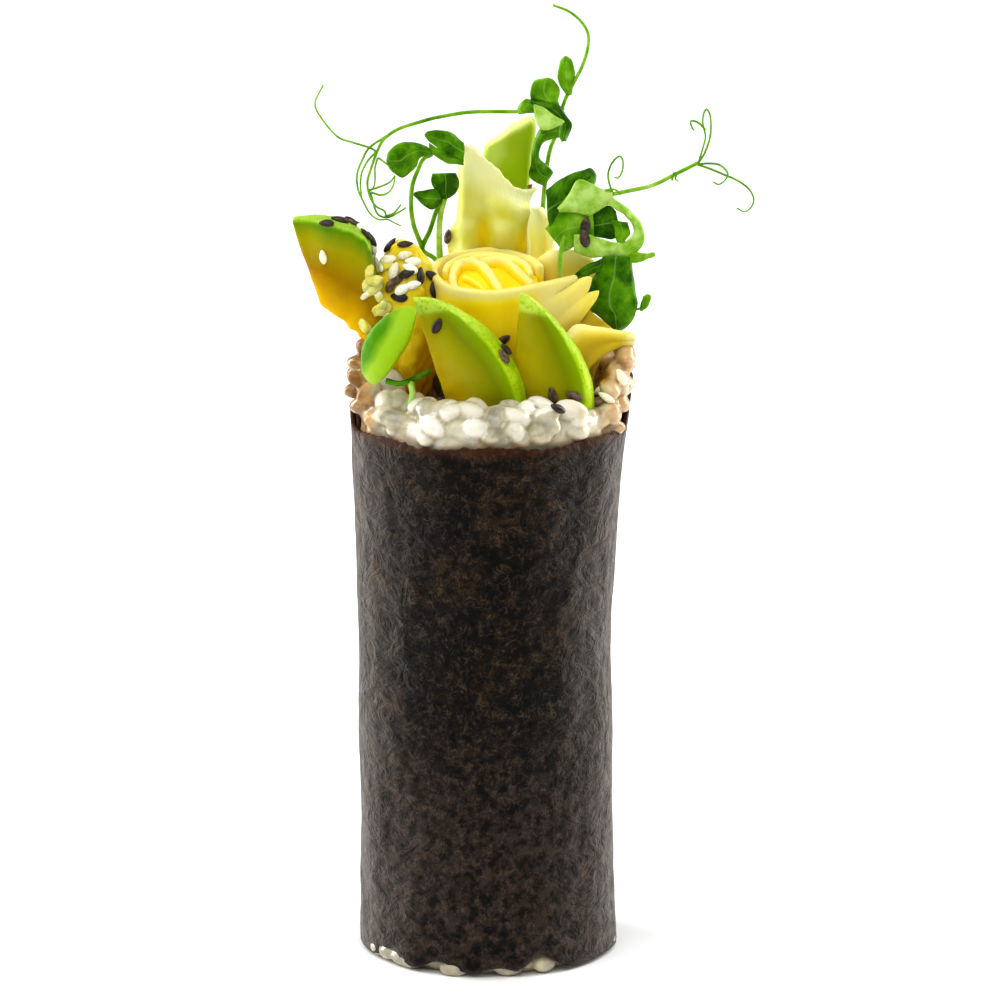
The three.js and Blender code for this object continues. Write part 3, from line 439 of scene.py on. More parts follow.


# Rice
# Cooked short-grain rice, packed by hand. Its grains are plump, moist and half clear, and stick
# together. Seasoning has soaked both ends of the mouth amber brown, and the rice is amber brown in
# the hollow, at the back and low down as well.

GRAIN = Vector((4.1, 6.0, 3.5))
RICE_WALL_TOP = 5.4
HOLLOW_RADIUS = 14
HOLLOW_FLOOR = 104
CROWN_START = 95
TRUNK_TOP = 98
TRUNK_SLACK = 0.4
RICE_GRID = 0.42
VIEW_SLOPE = 0.233


def wall_top(angle):
    """The top of the rice: lowest at the front, and highest at the left and right ends."""
    ends = 6.4 * smoothstep(abs(math.cos(angle)), 0.93, 0.995)
    back = 5 * smoothstep(math.sin(angle), -0.1, 0.4)
    return RIM_FRONT + RICE_WALL_TOP + max(ends, back)


def core_radius(angle, height):
    """The radius inside the nori, which is one layer less where the sheet overlaps."""
    turned = ((math.degrees(angle) - FLAP_DEGREES) % 360) / 360
    outside = turned + 1 if turned <= SHEET_TURNS - 1 else turned
    return roll_radius(height) + LAYER_PITCH * (0.5 - outside) - SHEET_THICKNESS - 0.9


def turned_profile(profile_of, lumpiness=0):
    """A closed body of rows round the roll, from profile_of(angle), a list of (share, radius, height)."""
    def place(u, v):
        angle = FLAP_ANGLE + u * 2 * math.pi
        profile = profile_of(angle)
        for (start, near, low), (end, far, high) in zip(profile, profile[1:]):
            if v <= end:
                share = (v - start) / (end - start)
                radius, height = mix(near, far, share), mix(low, high, share)
                break
        lumps = lumpiness * (0.35 - noise.voronoi(round_point(angle, radius, height) * 0.3)[0][0])
        lifted = height + lumps * (height > HOLLOW_FLOOR - 0.1)
        return on_roll(angle, max(radius + lumps * min(radius / 5, 1), 0), lifted)
    return place


def trunk_profile(angle):
    return ((0, 0, 0.3), (0.1, core_radius(angle, 0) - 1.2, 0.3),
            (0.14, core_radius(angle, 1) - TRUNK_SLACK, 1.5),
            (0.9, core_radius(angle, TRUNK_TOP) - TRUNK_SLACK, TRUNK_TOP), (1, 0, TRUNK_TOP))


def crown_profile(angle):
    """The wall round the mouth, which is thin at the right, where the hollow comes nearest."""
    top = wall_top(angle)
    thin = 3 * smoothstep(math.cos(angle), 0.75, 0.95)
    rows = [(share, core_radius(angle, height) + wrinkle(angle, height) + 0.4, height)
            for share, height in ((0.1, CROWN_START), (0.18, 99), (0.25, 103), (0.33, top - 2))]
    return ((0, 0, CROWN_START), *rows, (0.42, core_radius(angle, HOLLOW_FLOOR) - 0.8, top - 0.4),
            (0.52, 19.6 + thin, top), (0.62, 16.8 + thin, top - 2 - thin),
            (0.8, HOLLOW_RADIUS + thin, HOLLOW_FLOOR), (1, 0, HOLLOW_FLOOR))


def foot_profile(angle):
    return ((0, 0, 0), (0.4, core_radius(angle, 0) - 1.6, 0), (0.6, core_radius(angle, 2), 1.4),
            (0.8, core_radius(angle, 4), 4), (1, 0, 4))


def weld(piece):
    """Closes the seam and the poles of a rolled-up grid, and turns its faces outwards."""
    pick(piece)
    bpy.ops.object.mode_set(mode="EDIT")
    bpy.ops.mesh.select_all(action="SELECT")
    bpy.ops.mesh.remove_doubles(threshold=1e-6)
    bpy.ops.mesh.normals_make_consistent(inside=False)
    bpy.ops.object.mode_set(mode="OBJECT")
    return piece


def join(name, parts):
    pick(*parts)
    bpy.ops.object.join()
    parts[0].name = parts[0].data.name = name
    return parts[0]


def tree_of(obj):
    return BVHTree.FromPolygons([point.co for point in obj.data.vertices],
                                [face.vertices[:] for face in obj.data.polygons])


topping_trees = [tree_of(solid) for name, solid in frame["nodes"].items() if name != "rice"]


def clearance(here):
    """How far a point in millimetres is from the nearest topping, less than nothing if inside."""
    nearest = 1e9
    for tree in topping_trees:
        spot, normal, _, distance = tree.find_nearest(here * MM)
        if distance / MM < nearest:
            inside = (here * MM - spot).dot(normal) < 0
            nearest = -distance / MM if inside else distance / MM
    return nearest


draw = random.Random(29)


def grains_round(radius, lift, count, steepness=1.3, turning=3.2, height=None):
    """Grains scattered round a ring: where each lies, its direction and its size."""
    laid = []
    for index in range(count):
        angle = (index + 0.7 * draw.random()) / count * 2 * math.pi
        if not height and (radius < 22 and math.cos(angle) > 0.8 or math.cos(angle) < -0.88):
            continue
        heading = angle + math.pi / 2 + (draw.random() - 0.5) * turning
        along = Vector((math.cos(heading), math.sin(heading), (draw.random() - 0.5) * steepness)).normalized()
        level = (height or wall_top(angle) + lift) + 1.1 * (draw.random() - 0.5) * (not height)
        place = on_roll(angle, radius + 0.9 * (draw.random() - 0.5), level)
        laid.append((place, along, 0.86 + 0.26 * draw.random()))
    return laid


# Rings of grains as (radius, lift, count), and single grains as (degrees, radius, height).
MOUTH_RINGS = ((24.0, -3.2, 26), (24.2, -1.4, 26), (23.2, 0.2, 26), (21.4, 1.2, 24), (19.4, 0.7, 22),
               (17.8, -0.8, 20), (16.6, -2.6, 20), (15.6, -4.6, 18))
FOOT_RING = {"radius": 22.6, "lift": 0, "count": 22, "steepness": 0.15, "turning": 1.4, "height": 1.75}
FOOT_GRAINS = ((-146, 22.8, 2.2), (-134, 23.2, 1.9), (-116, 23.3, 1.7), (-107, 22.9, 1.4), (-86, 23.4, 1.5),
               (-72, 23.2, 1.8), (-61, 23.4, 2.3))
END_GRAINS = ((-30, 24.5, 107.6), (-24, 24.8, 105.6), (-14, 25, 107), (-8, 25, 109.4), (-16, 24.8, 112),
              (-20, 24, 102.8), (-10, 24.2, 103.6), (3, 25.4, 112.8), (-5, 25.4, 114.8),
              (10, 24.8, 114.2), (-24, 24.4, 110.6), (18, 24.6, 112.6), (-2, 24.8, 116.2), (194, 24.8, 106.5),
              (182, 25, 108.5), (172, 24.8, 110.6), (190, 24.8, 111), (181, 24.6, 113.2), (189, 24.4, 115.2),
              (172, 24.2, 114.8), (200, 24.4, 109.4), (179, 23.6, 116.4))


def grain_mesh():
    """One grain: an oval, blunt at one end, pinched at the other and slightly bent."""
    grain = primitive(bpy.ops.mesh.primitive_uv_sphere_add, "grain", segments=14, ring_count=10, radius=0.5)
    for point in grain.data.vertices:
        x, y, z = point.co.x, point.co.z, point.co.y
        taper = 1 - 0.1 * y
        bend = 0.16 * (y * y - 0.08)
        point.co = Vector((x * taper * GRAIN.x, y * GRAIN.y, (z * taper) * GRAIN.z + bend * 2.4)) * MM
    return grain


def stamp(source, transforms, name):
    """Copies a small mesh to many places and joins the copies as one piece."""
    corners, faces, tones = [], [], []
    shape = [point.co.copy() for point in source.data.vertices]
    loops = [face.vertices[:] for face in source.data.polygons]
    for transform, tone in transforms:
        first = len(corners)
        corners.extend(transform @ corner for corner in shape)
        faces.extend(tuple(first + corner for corner in loop) for loop in loops)
        tones.extend([tone] * len(shape))
    mesh = bpy.data.meshes.new(name)
    mesh.from_pydata(corners, [], faces)
    mesh.attributes.new("tone", "FLOAT", "POINT").data.foreach_set("value", tones)
    joined = bpy.data.objects.new(name, mesh)
    bpy.context.collection.objects.link(joined)
    bpy.data.objects.remove(source)
    return joined


def facing(place, along, up, size=1.0):
    """The transform that lays a small thing along a direction with its flat side up."""
    side = along.cross(up).normalized()
    top = side.cross(along).normalized()
    turn = Matrix((side, along, top)).transposed().to_4x4()
    return Matrix.Translation(place * MM) @ turn @ Matrix.Scale(size, 4)


def turns_of(laid, room):
    """The transforms and tones of the grains that have room among the toppings."""
    turns = []
    for place, along, size in laid:
        if min(clearance(place), clearance(place + 2.2 * along), clearance(place - 2.2 * along)) > room:
            up = Vector((draw.random() - 0.5, draw.random() - 0.5, 1)).normalized()
            turns.append((facing(place, along, up, size), 0.12 + 0.88 * draw.random()))
    return turns


def stuck(name, body, turns):
    """Sinks grains into a body of packed rice, with soft creases between them."""
    piece = join(name, [body, stamp(grain_mesh(), turns, "grains")])
    apply_modifier(piece, "REMESH", mode="VOXEL", voxel_size=RICE_GRID * MM)
    apply_modifier(piece, "SMOOTH", factor=0.5, iterations=2)
    centres = KDTree(len(turns))
    for index, (turn, _) in enumerate(turns):
        centres.insert(turn.translation, index)
    centres.balance()
    for point in piece.data.vertices:
        point.co.z = max(point.co.z, 0)
    set_attribute(piece, "tone", lambda here: turns[centres.find(here * MM)[1]][1])
    return piece


def mark_creases(piece):
    """Stores how deep each point lies in a crease: 0 on a grain's back, 1 between grains. The rice material darkens
    the creases with it as painted shade.
    """
    points = piece.data.vertices
    sums, counts = [Vector() for _ in points], [0] * len(points)
    for edge in piece.data.edges:
        one, other = edge.vertices
        for here, there in ((one, other), (other, one)):
            sums[here] += points[there].co
            counts[here] += 1
    layer = piece.data.attributes.new("crease", "FLOAT", "POINT")
    for point in points:
        if counts[point.index]:
            offset = (sums[point.index] / counts[point.index] - point.co).dot(point.normal) / MM
            layer.data[point.index].value = smoothstep(offset, -0.005, 0.045)


def swing(tree, soft_noise, amount):
    """Turns noise from 0 to 1 into a shift to both sides of 0."""
    return times(tree, maths(tree, "SUBTRACT", soft_noise, 0.5), amount)


def rice_material():
    material, tree = new_material("cooked_rice")
    place, crease = object_place(tree), attribute(tree, "crease")
    clouds = cloud(tree, place, 260.0, 4.0)
    shift = swing(tree, clouds, 0.9)
    white = ramp(tree, plus(tree, attribute(tree, "tone"), shift), (0, srgb(146, 143, 128)),
                 (0.2, srgb(190, 182, 154)), (0.5, srgb(206, 201, 178)), (1, srgb(238, 235, 224)))
    # Painted shade: the creases between grains are darkened towards a dull tan.
    white = blend(tree, times(tree, crease, 0.75), white, srgb(176, 164, 120))
    share = plus(tree, attribute(tree, "stain"), times(tree, shift, 0.85))
    share = maths(tree, "MINIMUM", maths(tree, "MAXIMUM", share, 0.0), 1.0)
    amber = ramp(tree, share, (0.2, srgb(210, 194, 162)), (0.5, srgb(202, 168, 118)),
                 (0.8, srgb(142, 102, 26)), (1, srgb(130, 80, 0)))
    # Painted shade in the creases of the amber rice as well.
    amber = blend(tree, times(tree, crease, 0.5), amber, srgb(100, 62, 10))
    surface(tree, {
        "Base Color": blend(tree, maths(tree, "MINIMUM", times(tree, share, 2.5), 1.0), white, amber),
        "Roughness": ramp(tree, clouds, (0.35, grey(0.2)), (0.7, grey(0.4))),
        "Coat Weight": ramp(tree, clouds, (0.4, grey(0.6)), (0.65, grey(0.2))),
        "Normal": bump(tree, cloud(tree, place, 1100.0), 0.25, 0.0002),
        "Subsurface Weight": 0.6, "Subsurface Radius": (1.0, 0.85, 0.6), "Subsurface Scale": 0.002,
        "Specular IOR Level": 0.45, "Coat Roughness": 0.12})
    return material


def front_height(here):
    """The height at which a point shows from the front, where what lies further back shows higher."""
    return here.z + VIEW_SLOPE * here.y


def stain_at(here):
    """How amber brown the rice is: soaked with seasoning at both ends of the mouth, and amber brown in the hollow,
    at the back, in a pocket at the right and low down.
    """
    radius = math.hypot(here.x, here.y)
    if here.z < 60:
        return 0.1
    ends = smoothstep(-here.x, 19.5, 25.5) * 0.8 + smoothstep(here.x, 12, 25) * 0.48
    inner = smoothstep(mix(18.6, 23, smoothstep(here.x, 12, 18)) - radius, 0, 3) * smoothstep(
        mix(112, 118, smoothstep(here.x, 14, 20)) - here.z, 0, 5)
    back = smoothstep(here.y, -2, 8) * 0.6
    pocket = 0.95 * bell(here.x - 20.6, 3) * bell(front_height(here) - 111.2, 2.6)
    low = 0.28 * smoothstep(105.4 - here.z, 0, 2.5)
    return min(max(ends, inner, back, pocket, low), 1)


mouth_grains = [laid for ring in MOUTH_RINGS for laid in grains_round(*ring)]
for degrees, radius, height in END_GRAINS:
    heading = math.radians(degrees) + (draw.random() - 0.5) * 3
    mouth_grains.append((on_roll(math.radians(degrees), radius, height),
                         Vector((math.cos(heading), math.sin(heading), draw.random() - 0.5)).normalized(), 1))
foot_grains = grains_round(**FOOT_RING)
for degrees, radius, height in FOOT_GRAINS:
    heading = math.radians(degrees + 90 + 30 * (draw.random() - 0.5))
    foot_grains.append((on_roll(math.radians(degrees), radius, height), round_point(heading, 1, 0), 1))

trunk = weld(patch("rice_trunk", 72, 40, turned_profile(trunk_profile)))
crown = stuck("rice_crown", weld(patch("crown", 144, 90, turned_profile(crown_profile, 0.9))),
              turns_of(mouth_grains, 0.5))
foot = stuck("rice_foot", weld(patch("foot", 96, 30, turned_profile(foot_profile))), turns_of(foot_grains, 0.3))
rice_look = rice_material()
for piece in (trunk, crown, foot):
    set_attribute(piece, "stain", stain_at)
    mark_creases(piece)
    finish_piece(piece, rice_look, "rice", "rice")
set_attribute(trunk, "tone", lambda here: 0.4)
set_attribute(foot, "tone", lambda here: 0.04 + 0.25 * noise.noise(here * 0.3))


# Avocado
# Four slices cut lengthwise from a peeled avocado, and one chunk at the left. Each is green
# where its skin was and turns yellow towards the pit. The outside keeps the skin's fine pits.

SKIN_SIDE = (srgb(148, 186, 0), srgb(174, 206, 8), srgb(196, 222, 56))

# Without a seed, noise_vector would give another shape each time.
noise.seed_set(29)


def slice_piece(name, tip, foot, bulge, depth, skin_width, pit_width, bluntness=0.75):
    """A crescent from tip to foot, thick at its skin and thin at the pit's side."""
    piece = primitive(bpy.ops.mesh.primitive_uv_sphere_add, name, segments=96, ring_count=64, radius=1)
    start, span = Vector(tip), Vector(foot) - Vector(tip)
    side = span.cross(Vector(bulge)).normalized()
    out = side.cross(span).normalized()
    for title in ("depth", "rind", "porous"):
        piece.data.attributes.new(title, "FLOAT", "POINT")
    depths, rinds, pores = (piece.data.attributes[title].data for title in ("depth", "rind", "porous"))
    for point in piece.data.vertices:
        here = point.co.copy()
        travelled = math.acos(min(max(here.z, -1), 1)) / math.pi
        girth = math.hypot(here.x, here.y) or 1
        outwards = (math.copysign(abs(here.x / girth) ** 0.4, here.x) + 1) / 2
        across = math.copysign(abs(here.y / girth) ** 0.34, here.y)
        full = math.sin(math.pi * travelled) ** bluntness
        crown = 0.1 * depth * outwards * (1 - across * across)
        spot = start + span * travelled + out * full * (depth * outwards + crown)
        spot += side * full * across * mix(pit_width, skin_width, outwards) / 2
        spot += side * 0.25 * noise.noise(spot * 0.3) + out * 0.15 * noise.noise(spot * 0.45)
        point.co = spot * MM
        tip_share = 1 - smoothstep(travelled, 0.02, 0.12)
        ripeness = (0.24 - 0.5 * smoothstep(travelled, 0.1, 0.6)) * (1 - outwards)
        depths[point.index].value = max(outwards + ripeness, tip_share * 0.95)
        skin = smoothstep(outwards, 0.955, 0.985) * (1 - smoothstep(abs(across), 0.93, 0.985))
        rinds[point.index].value = max(skin, smoothstep(0.1 - travelled, 0, 0.03))
        # Where the tip's pit rims get painted highlights.
        pores[point.index].value = 0.2 * smoothstep(0.3 - travelled, 0, 0.25)
    return weld(piece)


def pits_group():
    """Tiny round pits, as the skin leaves in the flesh under it."""
    tree, given, out = new_group("pits", {"Scale": 900.0}, ["Height", "Spots"])
    cells = node(tree, "ShaderNodeTexVoronoi", {"Vector": object_place(tree), "Scale": given["Scale"]},
                 feature="F1")
    near = remap(tree, cells.outputs["Distance"], 0.15, 0.5)
    tree.links.new(near, out.inputs["Height"])
    tree.links.new(maths(tree, "SUBTRACT", 1.0, near), out.inputs["Spots"])
    return tree


PITS = pits_group()


def avocado_material(name, pit_colour, flesh_colour, near_skin, skin_colour, skin_side=SKIN_SIDE):
    material, tree = new_material(name)
    place, rind = object_place(tree), attribute(tree, "rind")
    clouds = cloud(tree, place, 180.0, 5.0, 0.55)
    flesh = ramp(tree, plus(tree, attribute(tree, "depth"), swing(tree, clouds, 0.22)),
                 (0.05, pit_colour), (0.42, flesh_colour), (0.76, near_skin), (0.96, skin_colour))
    pits = grouped(tree, PITS, Scale=1300.0)
    outside = ramp(tree, clouds, *zip((0.3, 0.55, 0.7), skin_side))
    # Painted shade: the middle of each pit is darkened towards a deeper green.
    outside = blend(tree, times(tree, pits["Spots"], 0.3), outside, srgb(96, 140, 0))
    # Painted highlights: the rims between the pits near the tip are lightened towards a pale whitish green.
    outside = blend(tree, times(tree, attribute(tree, "porous"), pits["Height"]), outside, srgb(226, 238, 160))
    relief = plus(tree, times(tree, cloud(tree, place, 900.0, 3.0), 0.35), times(tree, pits["Height"], rind))
    surface(tree, {
        "Base Color": blend(tree, rind, flesh, outside),
        "Roughness": ramp(tree, clouds, (0.3, grey(0.34)), (0.7, grey(0.52))),
        "Coat Weight": ramp(tree, clouds, (0.5, grey(0.0)), (0.66, grey(0.25))),
        "Normal": bump(tree, relief, 0.4, 0.0002),
        "Subsurface Weight": 0.2, "Subsurface Radius": (1.0, 0.8, 0.1), "Subsurface Scale": 0.0012,
        "Specular IOR Level": 0.3, "Specular Tint": (1.0, 0.95, 0.1, 1.0), "Coat Roughness": 0.25})
    return material


def paint_side_slice(piece):
    """The small slice shows its cut face: dark green at its left and top, yellow at its right edge."""
    set_attribute(piece, "rind", lambda here: 0)
    middle = (Vector((-13.6, 0, 127.4)), Vector((-22.2, 0, 110.4)))
    span = middle[1] - middle[0]
    normal = Vector((-span.z, 0, span.x)).normalized()
    set_attribute(piece, "depth", lambda here: min(max(
        0.5 - (Vector((here.x, 0, here.z)) - middle[0]).dot(normal) / 8.6, 0), 1))


side_look = avocado_material("avocado_side_flesh", srgb(206, 210, 20), srgb(150, 190, 12),
                             srgb(156, 196, 40), srgb(74, 142, 0))
avocado_look = avocado_material("avocado_flesh", srgb(190, 166, 4), srgb(166, 160, 6), srgb(122, 132, 0),
                                srgb(126, 158, 0))
# Each slice's tip, foot, bulge, depth, width at the skin and at the pit, and bluntness.
SLICES = {
    "avocado_front": ((-14.3, -12.4, 128.6), (-1.5, -11.2, 88.5), (0.95, -0.2, 0.25), 13.5, 9, 3.5, 0.62),
    "avocado_right": ((5.8, -12, 129.5), (2, -7.8, 88), (0.95, -0.16, 0.1), 14.4, 7.4, 3.5),
    "avocado_side": ((-13.6, -15.4, 127.4), (-22.2, -11.5, 112), (-0.45, -0.85, 0.2), 4.5, 8.5, 5, 0.55),
}
for name, sizes in SLICES.items():
    piece = slice_piece(name + "_slice", *sizes)
    if name == "avocado_side":
        paint_side_slice(piece)
    finish_piece(piece, side_look if name == "avocado_side" else avocado_look, "avocado", name)


def cut_block(name, outline, front, depth, bevel, voxel=0.5):
    """A block with a flat outline in x and z, cut flat behind and before, its edges softened."""
    piece = primitive(bpy.ops.mesh.primitive_circle_add, name, vertices=len(outline), radius=1, fill_type="NGON")
    for point, (x, z) in zip(piece.data.vertices, outline):
        point.co = Vector((x, front, z)) * MM
    bpy.ops.object.mode_set(mode="EDIT")
    bpy.ops.mesh.select_all(action="SELECT")
    bpy.ops.mesh.extrude_region_move(TRANSFORM_OT_translate={"value": (0, depth * MM, 0)})
    bpy.ops.mesh.select_all(action="SELECT")
    bpy.ops.mesh.normals_make_consistent(inside=False)
    bpy.ops.object.mode_set(mode="OBJECT")
    apply_modifier(piece, "BEVEL", width=bevel * MM, segments=3, limit_method="ANGLE")
    apply_modifier(piece, "REMESH", mode="VOXEL", voxel_size=voxel * MM)
    apply_modifier(piece, "SMOOTH", factor=0.5, iterations=5)
    return piece


BACK_OUTLINE = ((-2, 104), (8.4, 104), (7.5, 143.7), (7.9, 149.1), (8.5, 152.9), (8.8, 154.8), (8.3, 157.2),
                (6.4, 156.5), (4, 155.4), (1.8, 153.3), (-0.3, 152.1), (-1.2, 150.9), (-1.5, 147.5))
BACK_FRONT = 16.4
BACK_DEPTH = 5.2


def back_depth(here):
    """A painted highlight: palest along the block's sloping top and its upper left, with pale patches, then turning
    greener down to its foot.
    """
    top = smoothstep(here.z - 153.2 - 0.6 * (here.x - 2), -2.2, 0.6)
    return max(top, 0.66 * smoothstep(here.z - 2.2 * here.x, 132, 150)) + 0.3 * noise.noise(here * 0.22)


avocado_back = cut_block("avocado_back_block", BACK_OUTLINE, BACK_FRONT, BACK_DEPTH, 1.0)
for point in avocado_back.data.vertices:
    here = point.co / MM
    bow = 0.04 * (here.x - 4) ** 2 * (1 - smoothstep(here.y, BACK_FRONT, BACK_FRONT + BACK_DEPTH))
    here.y += bow + 0.5 * noise.noise(here * 0.18)
    point.co = here * MM
set_attribute(avocado_back, "depth", back_depth)
set_attribute(avocado_back, "rind", lambda here: 0)
# Its paler stops are a painted highlight on the block's top and upper left.
back_look = avocado_material("avocado_pale_flesh", srgb(152, 180, 14), srgb(160, 184, 36), srgb(190, 208, 96),
                             srgb(222, 228, 150))
finish_piece(avocado_back, back_look, "avocado", "avocado_back")


def along_line(line, share):
    """The value of a broken line at a share of its length, eased between its points."""
    for (start, low), (end, high) in zip(line, line[1:]):
        if share <= end:
            return mix(low, high, smoothstep(share, start, end))
    return line[-1][1]


CHUNK_OUTLINE = ((-37.2, 141.4), (-35.3, 135.4), (-32.9, 128.5), (-31.8, 125.2), (-28.4, 122.7), (-24.2, 119.2),
                 (-19.4, 113), (-20, 126), (-21.6, 132), (-22.3, 136.4), (-23.6, 138.6), (-26.5, 140.2),
                 (-29.7, 141), (-33, 141.6))
CHUNK_TOP = ((-37.2, 141.4), (-33, 141.6), (-29.7, 141), (-26.5, 140.2), (-23.6, 138.6), (-22.3, 136.4), (-19, 128))
CHUNK_FRONT = -5.4
CHUNK_DEPTH = 9.2
CHUNK_MIDDLE = -0.8
CHUNK_FOOT = 113
CHUNK_HEIGHT = 29


def chunk():
    """The chunk at the left, cut flat on both sides, narrow at its left corner and its lower end."""
    piece = cut_block("avocado_left_chunk", CHUNK_OUTLINE, CHUNK_FRONT, CHUNK_DEPTH, 0.5, 0.4)
    for point in piece.data.vertices:
        here = point.co / MM
        up = (here.z - CHUNK_FOOT) / CHUNK_HEIGHT
        ragged = 1 - smoothstep(up, 0.15, 0.5)
        narrow = mix(0.3, 1, smoothstep(here.x, -37.5, -29.5)) * mix(0.66, 1, min(up, 1))
        here.y = CHUNK_MIDDLE + (here.y - CHUNK_MIDDLE) * narrow + 0.4 * noise.noise(here * 0.22)
        here.x += 0.2 * noise.noise(here * 0.3 + Vector((5, 0, 0)))
        here += ragged * 0.9 * noise.noise_vector(here * 0.55)
        point.co = here * MM
    return piece


def chunk_depth(here):
    """1 at the top, where the skin was, down to 0 at the lower end."""
    reach = mix(15, 20, smoothstep(here.x, -37, -24))
    return min(max(1 - (along_line(CHUNK_TOP, here.x) - here.z) / reach, 0), 1)


avocado_chunk = chunk()
set_attribute(avocado_chunk, "depth", chunk_depth)
set_attribute(avocado_chunk, "rind", lambda here: smoothstep(
    here.z - along_line(CHUNK_TOP, here.x), -0.9, -0.2))
chunk_look = avocado_material("avocado_ripe_flesh", srgb(240, 190, 0), srgb(162, 120, 0), srgb(164, 156, 0),
                              srgb(84, 138, 0), (srgb(146, 190, 24), srgb(170, 206, 66), srgb(200, 224, 116)))
finish_piece(avocado_chunk, chunk_look, "avocado", "avocado_left")


# Ginger
# Thin soft slices of pale yellow pickled ginger. One long slice is rolled into a rose with a
# torn end, one stands tall behind it, and the rest are folded or fanned round it.

GINGER = 1.6
THIN_GINGER = 1.3
TOPPING_FOOT = 104.7
ROSE_X, ROSE_Y = -0.4, 2.5
ROSE_RADIUS = 10.2
ROSE_RIM = 131
# The share of the rose's slice that is rolled, before it runs off to its torn end.
ROSE_ROLLED = 0.7
TAIL_DEPTH = 1.3


def ginger_material(name, deep, body, pale):
    material, tree = new_material(name)
    place = object_place(tree)
    clouds = cloud(tree, place, 150.0, 4.0)
    colour = ramp(tree, plus(tree, attribute(tree, "thin"), swing(tree, clouds, 0.35)),
                  (0, deep), (0.45, body), (0.92, pale))
    threads = grouped(tree, STRANDS, Scale=190.0, Stretch=0.15, Width=0.05)["Mask"]
    relief = plus(tree, times(tree, threads, 0.5), cloud(tree, place, 1300.0))
    surface(tree, {
        "Base Color": blend(tree, attribute(tree, "blush"), colour, srgb(214, 158, 120)),
        "Roughness": ramp(tree, clouds, (0.3, grey(0.3)), (0.7, grey(0.5))),
        "Coat Weight": ramp(tree, clouds, (0.5, grey(0.0)), (0.68, grey(0.2))),
        "Normal": bump(tree, relief, 0.22, 0.0002),
        "Subsurface Weight": 0.4, "Subsurface Radius": (1.0, 0.8, 0.1), "Subsurface Scale": 0.0018,
        "Specular IOR Level": 0.35, "Specular Tint": (1.0, 0.95, 0.1, 1.0), "Coat Roughness": 0.2})
    return material


rose_look = ginger_material("ginger_gold", srgb(255, 214, 0), srgb(255, 228, 40), srgb(238, 226, 142))
pale_look = ginger_material("ginger_pale", srgb(226, 206, 60), srgb(238, 232, 136), srgb(248, 246, 196))
tall_look = ginger_material("ginger_tall_pale", srgb(222, 202, 30), srgb(212, 210, 92), srgb(238, 238, 186))
fan_look = ginger_material("ginger_fan", srgb(212, 186, 44), srgb(230, 210, 96), srgb(246, 238, 172))
fold_look = ginger_material("ginger_deep", srgb(214, 176, 0), srgb(228, 206, 40), srgb(244, 238, 150))

TORN_END = ((14.4, 118.8), (17.8, 123.5), (20.8, 127.7), (18, 126.8), (19.3, 130.5), (14, 127.2), (16.4, 130.3))


def seen(across, height, depth):
    """A point from its place across and its height in the front view, and its depth."""
    return Vector((across, depth, height - VIEW_SLOPE * depth))


def rose_point(u, v):
    """The outer turn of the rose, open at its end, which runs off to the right and is torn."""
    angle = math.radians(10 + 290 * min(u / ROSE_ROLLED, 1))
    reach = mix(6, ROSE_RADIUS, v ** 0.5)
    here = Vector((ROSE_X + reach * math.cos(angle), ROSE_Y + reach * math.sin(angle), 0))
    here.z = mix(105.3, ROSE_RIM + (here.y - ROSE_Y) * 0.2, v)
    tail = max(0, (u - ROSE_ROLLED) / 0.3)
    if tail:
        steps = len(TORN_END) - 1
        index = min(int(v * steps), steps - 1)
        low, high = TORN_END[index], TORN_END[index + 1]
        torn = seen(*(mix(a, b, v * steps - index) for a, b in zip(low, high)), TAIL_DEPTH)
        even = seen(16.6, mix(119.2, 130.1, v), TAIL_DEPTH)
        here = here.lerp(even, tail ** 0.8) + (torn - even) * tail ** 2.2
    return here + 0.3 * noise.noise_vector(here * 0.15)


def through(route, share):
    """A point on a smooth curve through a route's points, with its share of the way along."""
    steps = len(route) - 1
    index = min(int(share * steps), steps - 1)
    t = share * steps - index
    before = route[index - 1] if index else 2 * route[0] - route[1]
    after = route[index + 2] if index + 2 <= steps else 2 * route[-1] - route[-2]
    here, there = route[index], route[index + 1]
    return 0.5 * (2 * here + (there - before) * t + (2 * before - 5 * here + 4 * there - after) * t * t
                  + (3 * here - before - 3 * there + after) * t ** 3)


# The rose's strips: how far each lies under the swelling middle, its thickness and its route.
HEART_STRIPS = (
    (0, 1.5, ((-3.6, -6.6), (-6.1, -5.0), (-6.7, -0.6), (-5.6, 3.3), (-3.8, 4.2), (-1.7, 2.8), (0, -0.5),
              (1.3, -3.7), (2.5, -6.6))),
    (0, 1.5, ((-2.0, 2.6), (0, 3.9), (2.5, 4.4), (4.6, 2.8), (6.2, 0.2), (8.6, -2.6))),
    (1, 0.9, ((-4.6, -0.8), (-2.3, -3.2), (0, -6.2))),
    (0.2, 1.3, ((8.2, 0.6), (7.4, 4.6), (4.9, 8.2), (0.6, 9.6), (-4.2, 8.4), (-7.3, 5.2), (-8.2, 1.2))),
    (0.3, 1.1, ((4.8, 5.4), (3.4, 6.8), (0.8, 7.3), (-2, 6.8), (-3.6, 5.8))),
)


def heart_dome(here):
    """The middle of the rose swells a little above its rim."""
    away = (here.x - ROSE_X) ** 2 + (here.y - ROSE_Y) ** 2
    return (here.y - ROSE_Y) * 0.2 + 1.7 * (1 - away / 81)


def heart_strip(drop, thickness, route):
    route = [Vector((x, y, 0)) for x, y in route]

    def place(u, v):
        here = through(route, u)
        spread = mix(0.8, 1, v)
        high = ROSE_RIM + 0.1 + heart_dome(here) - drop
        return Vector((ROSE_X + here.x * spread, here.y * spread, mix(120, high, v)))

    return thicken(patch("heart_strip", 64, 8, place), thickness, 1)


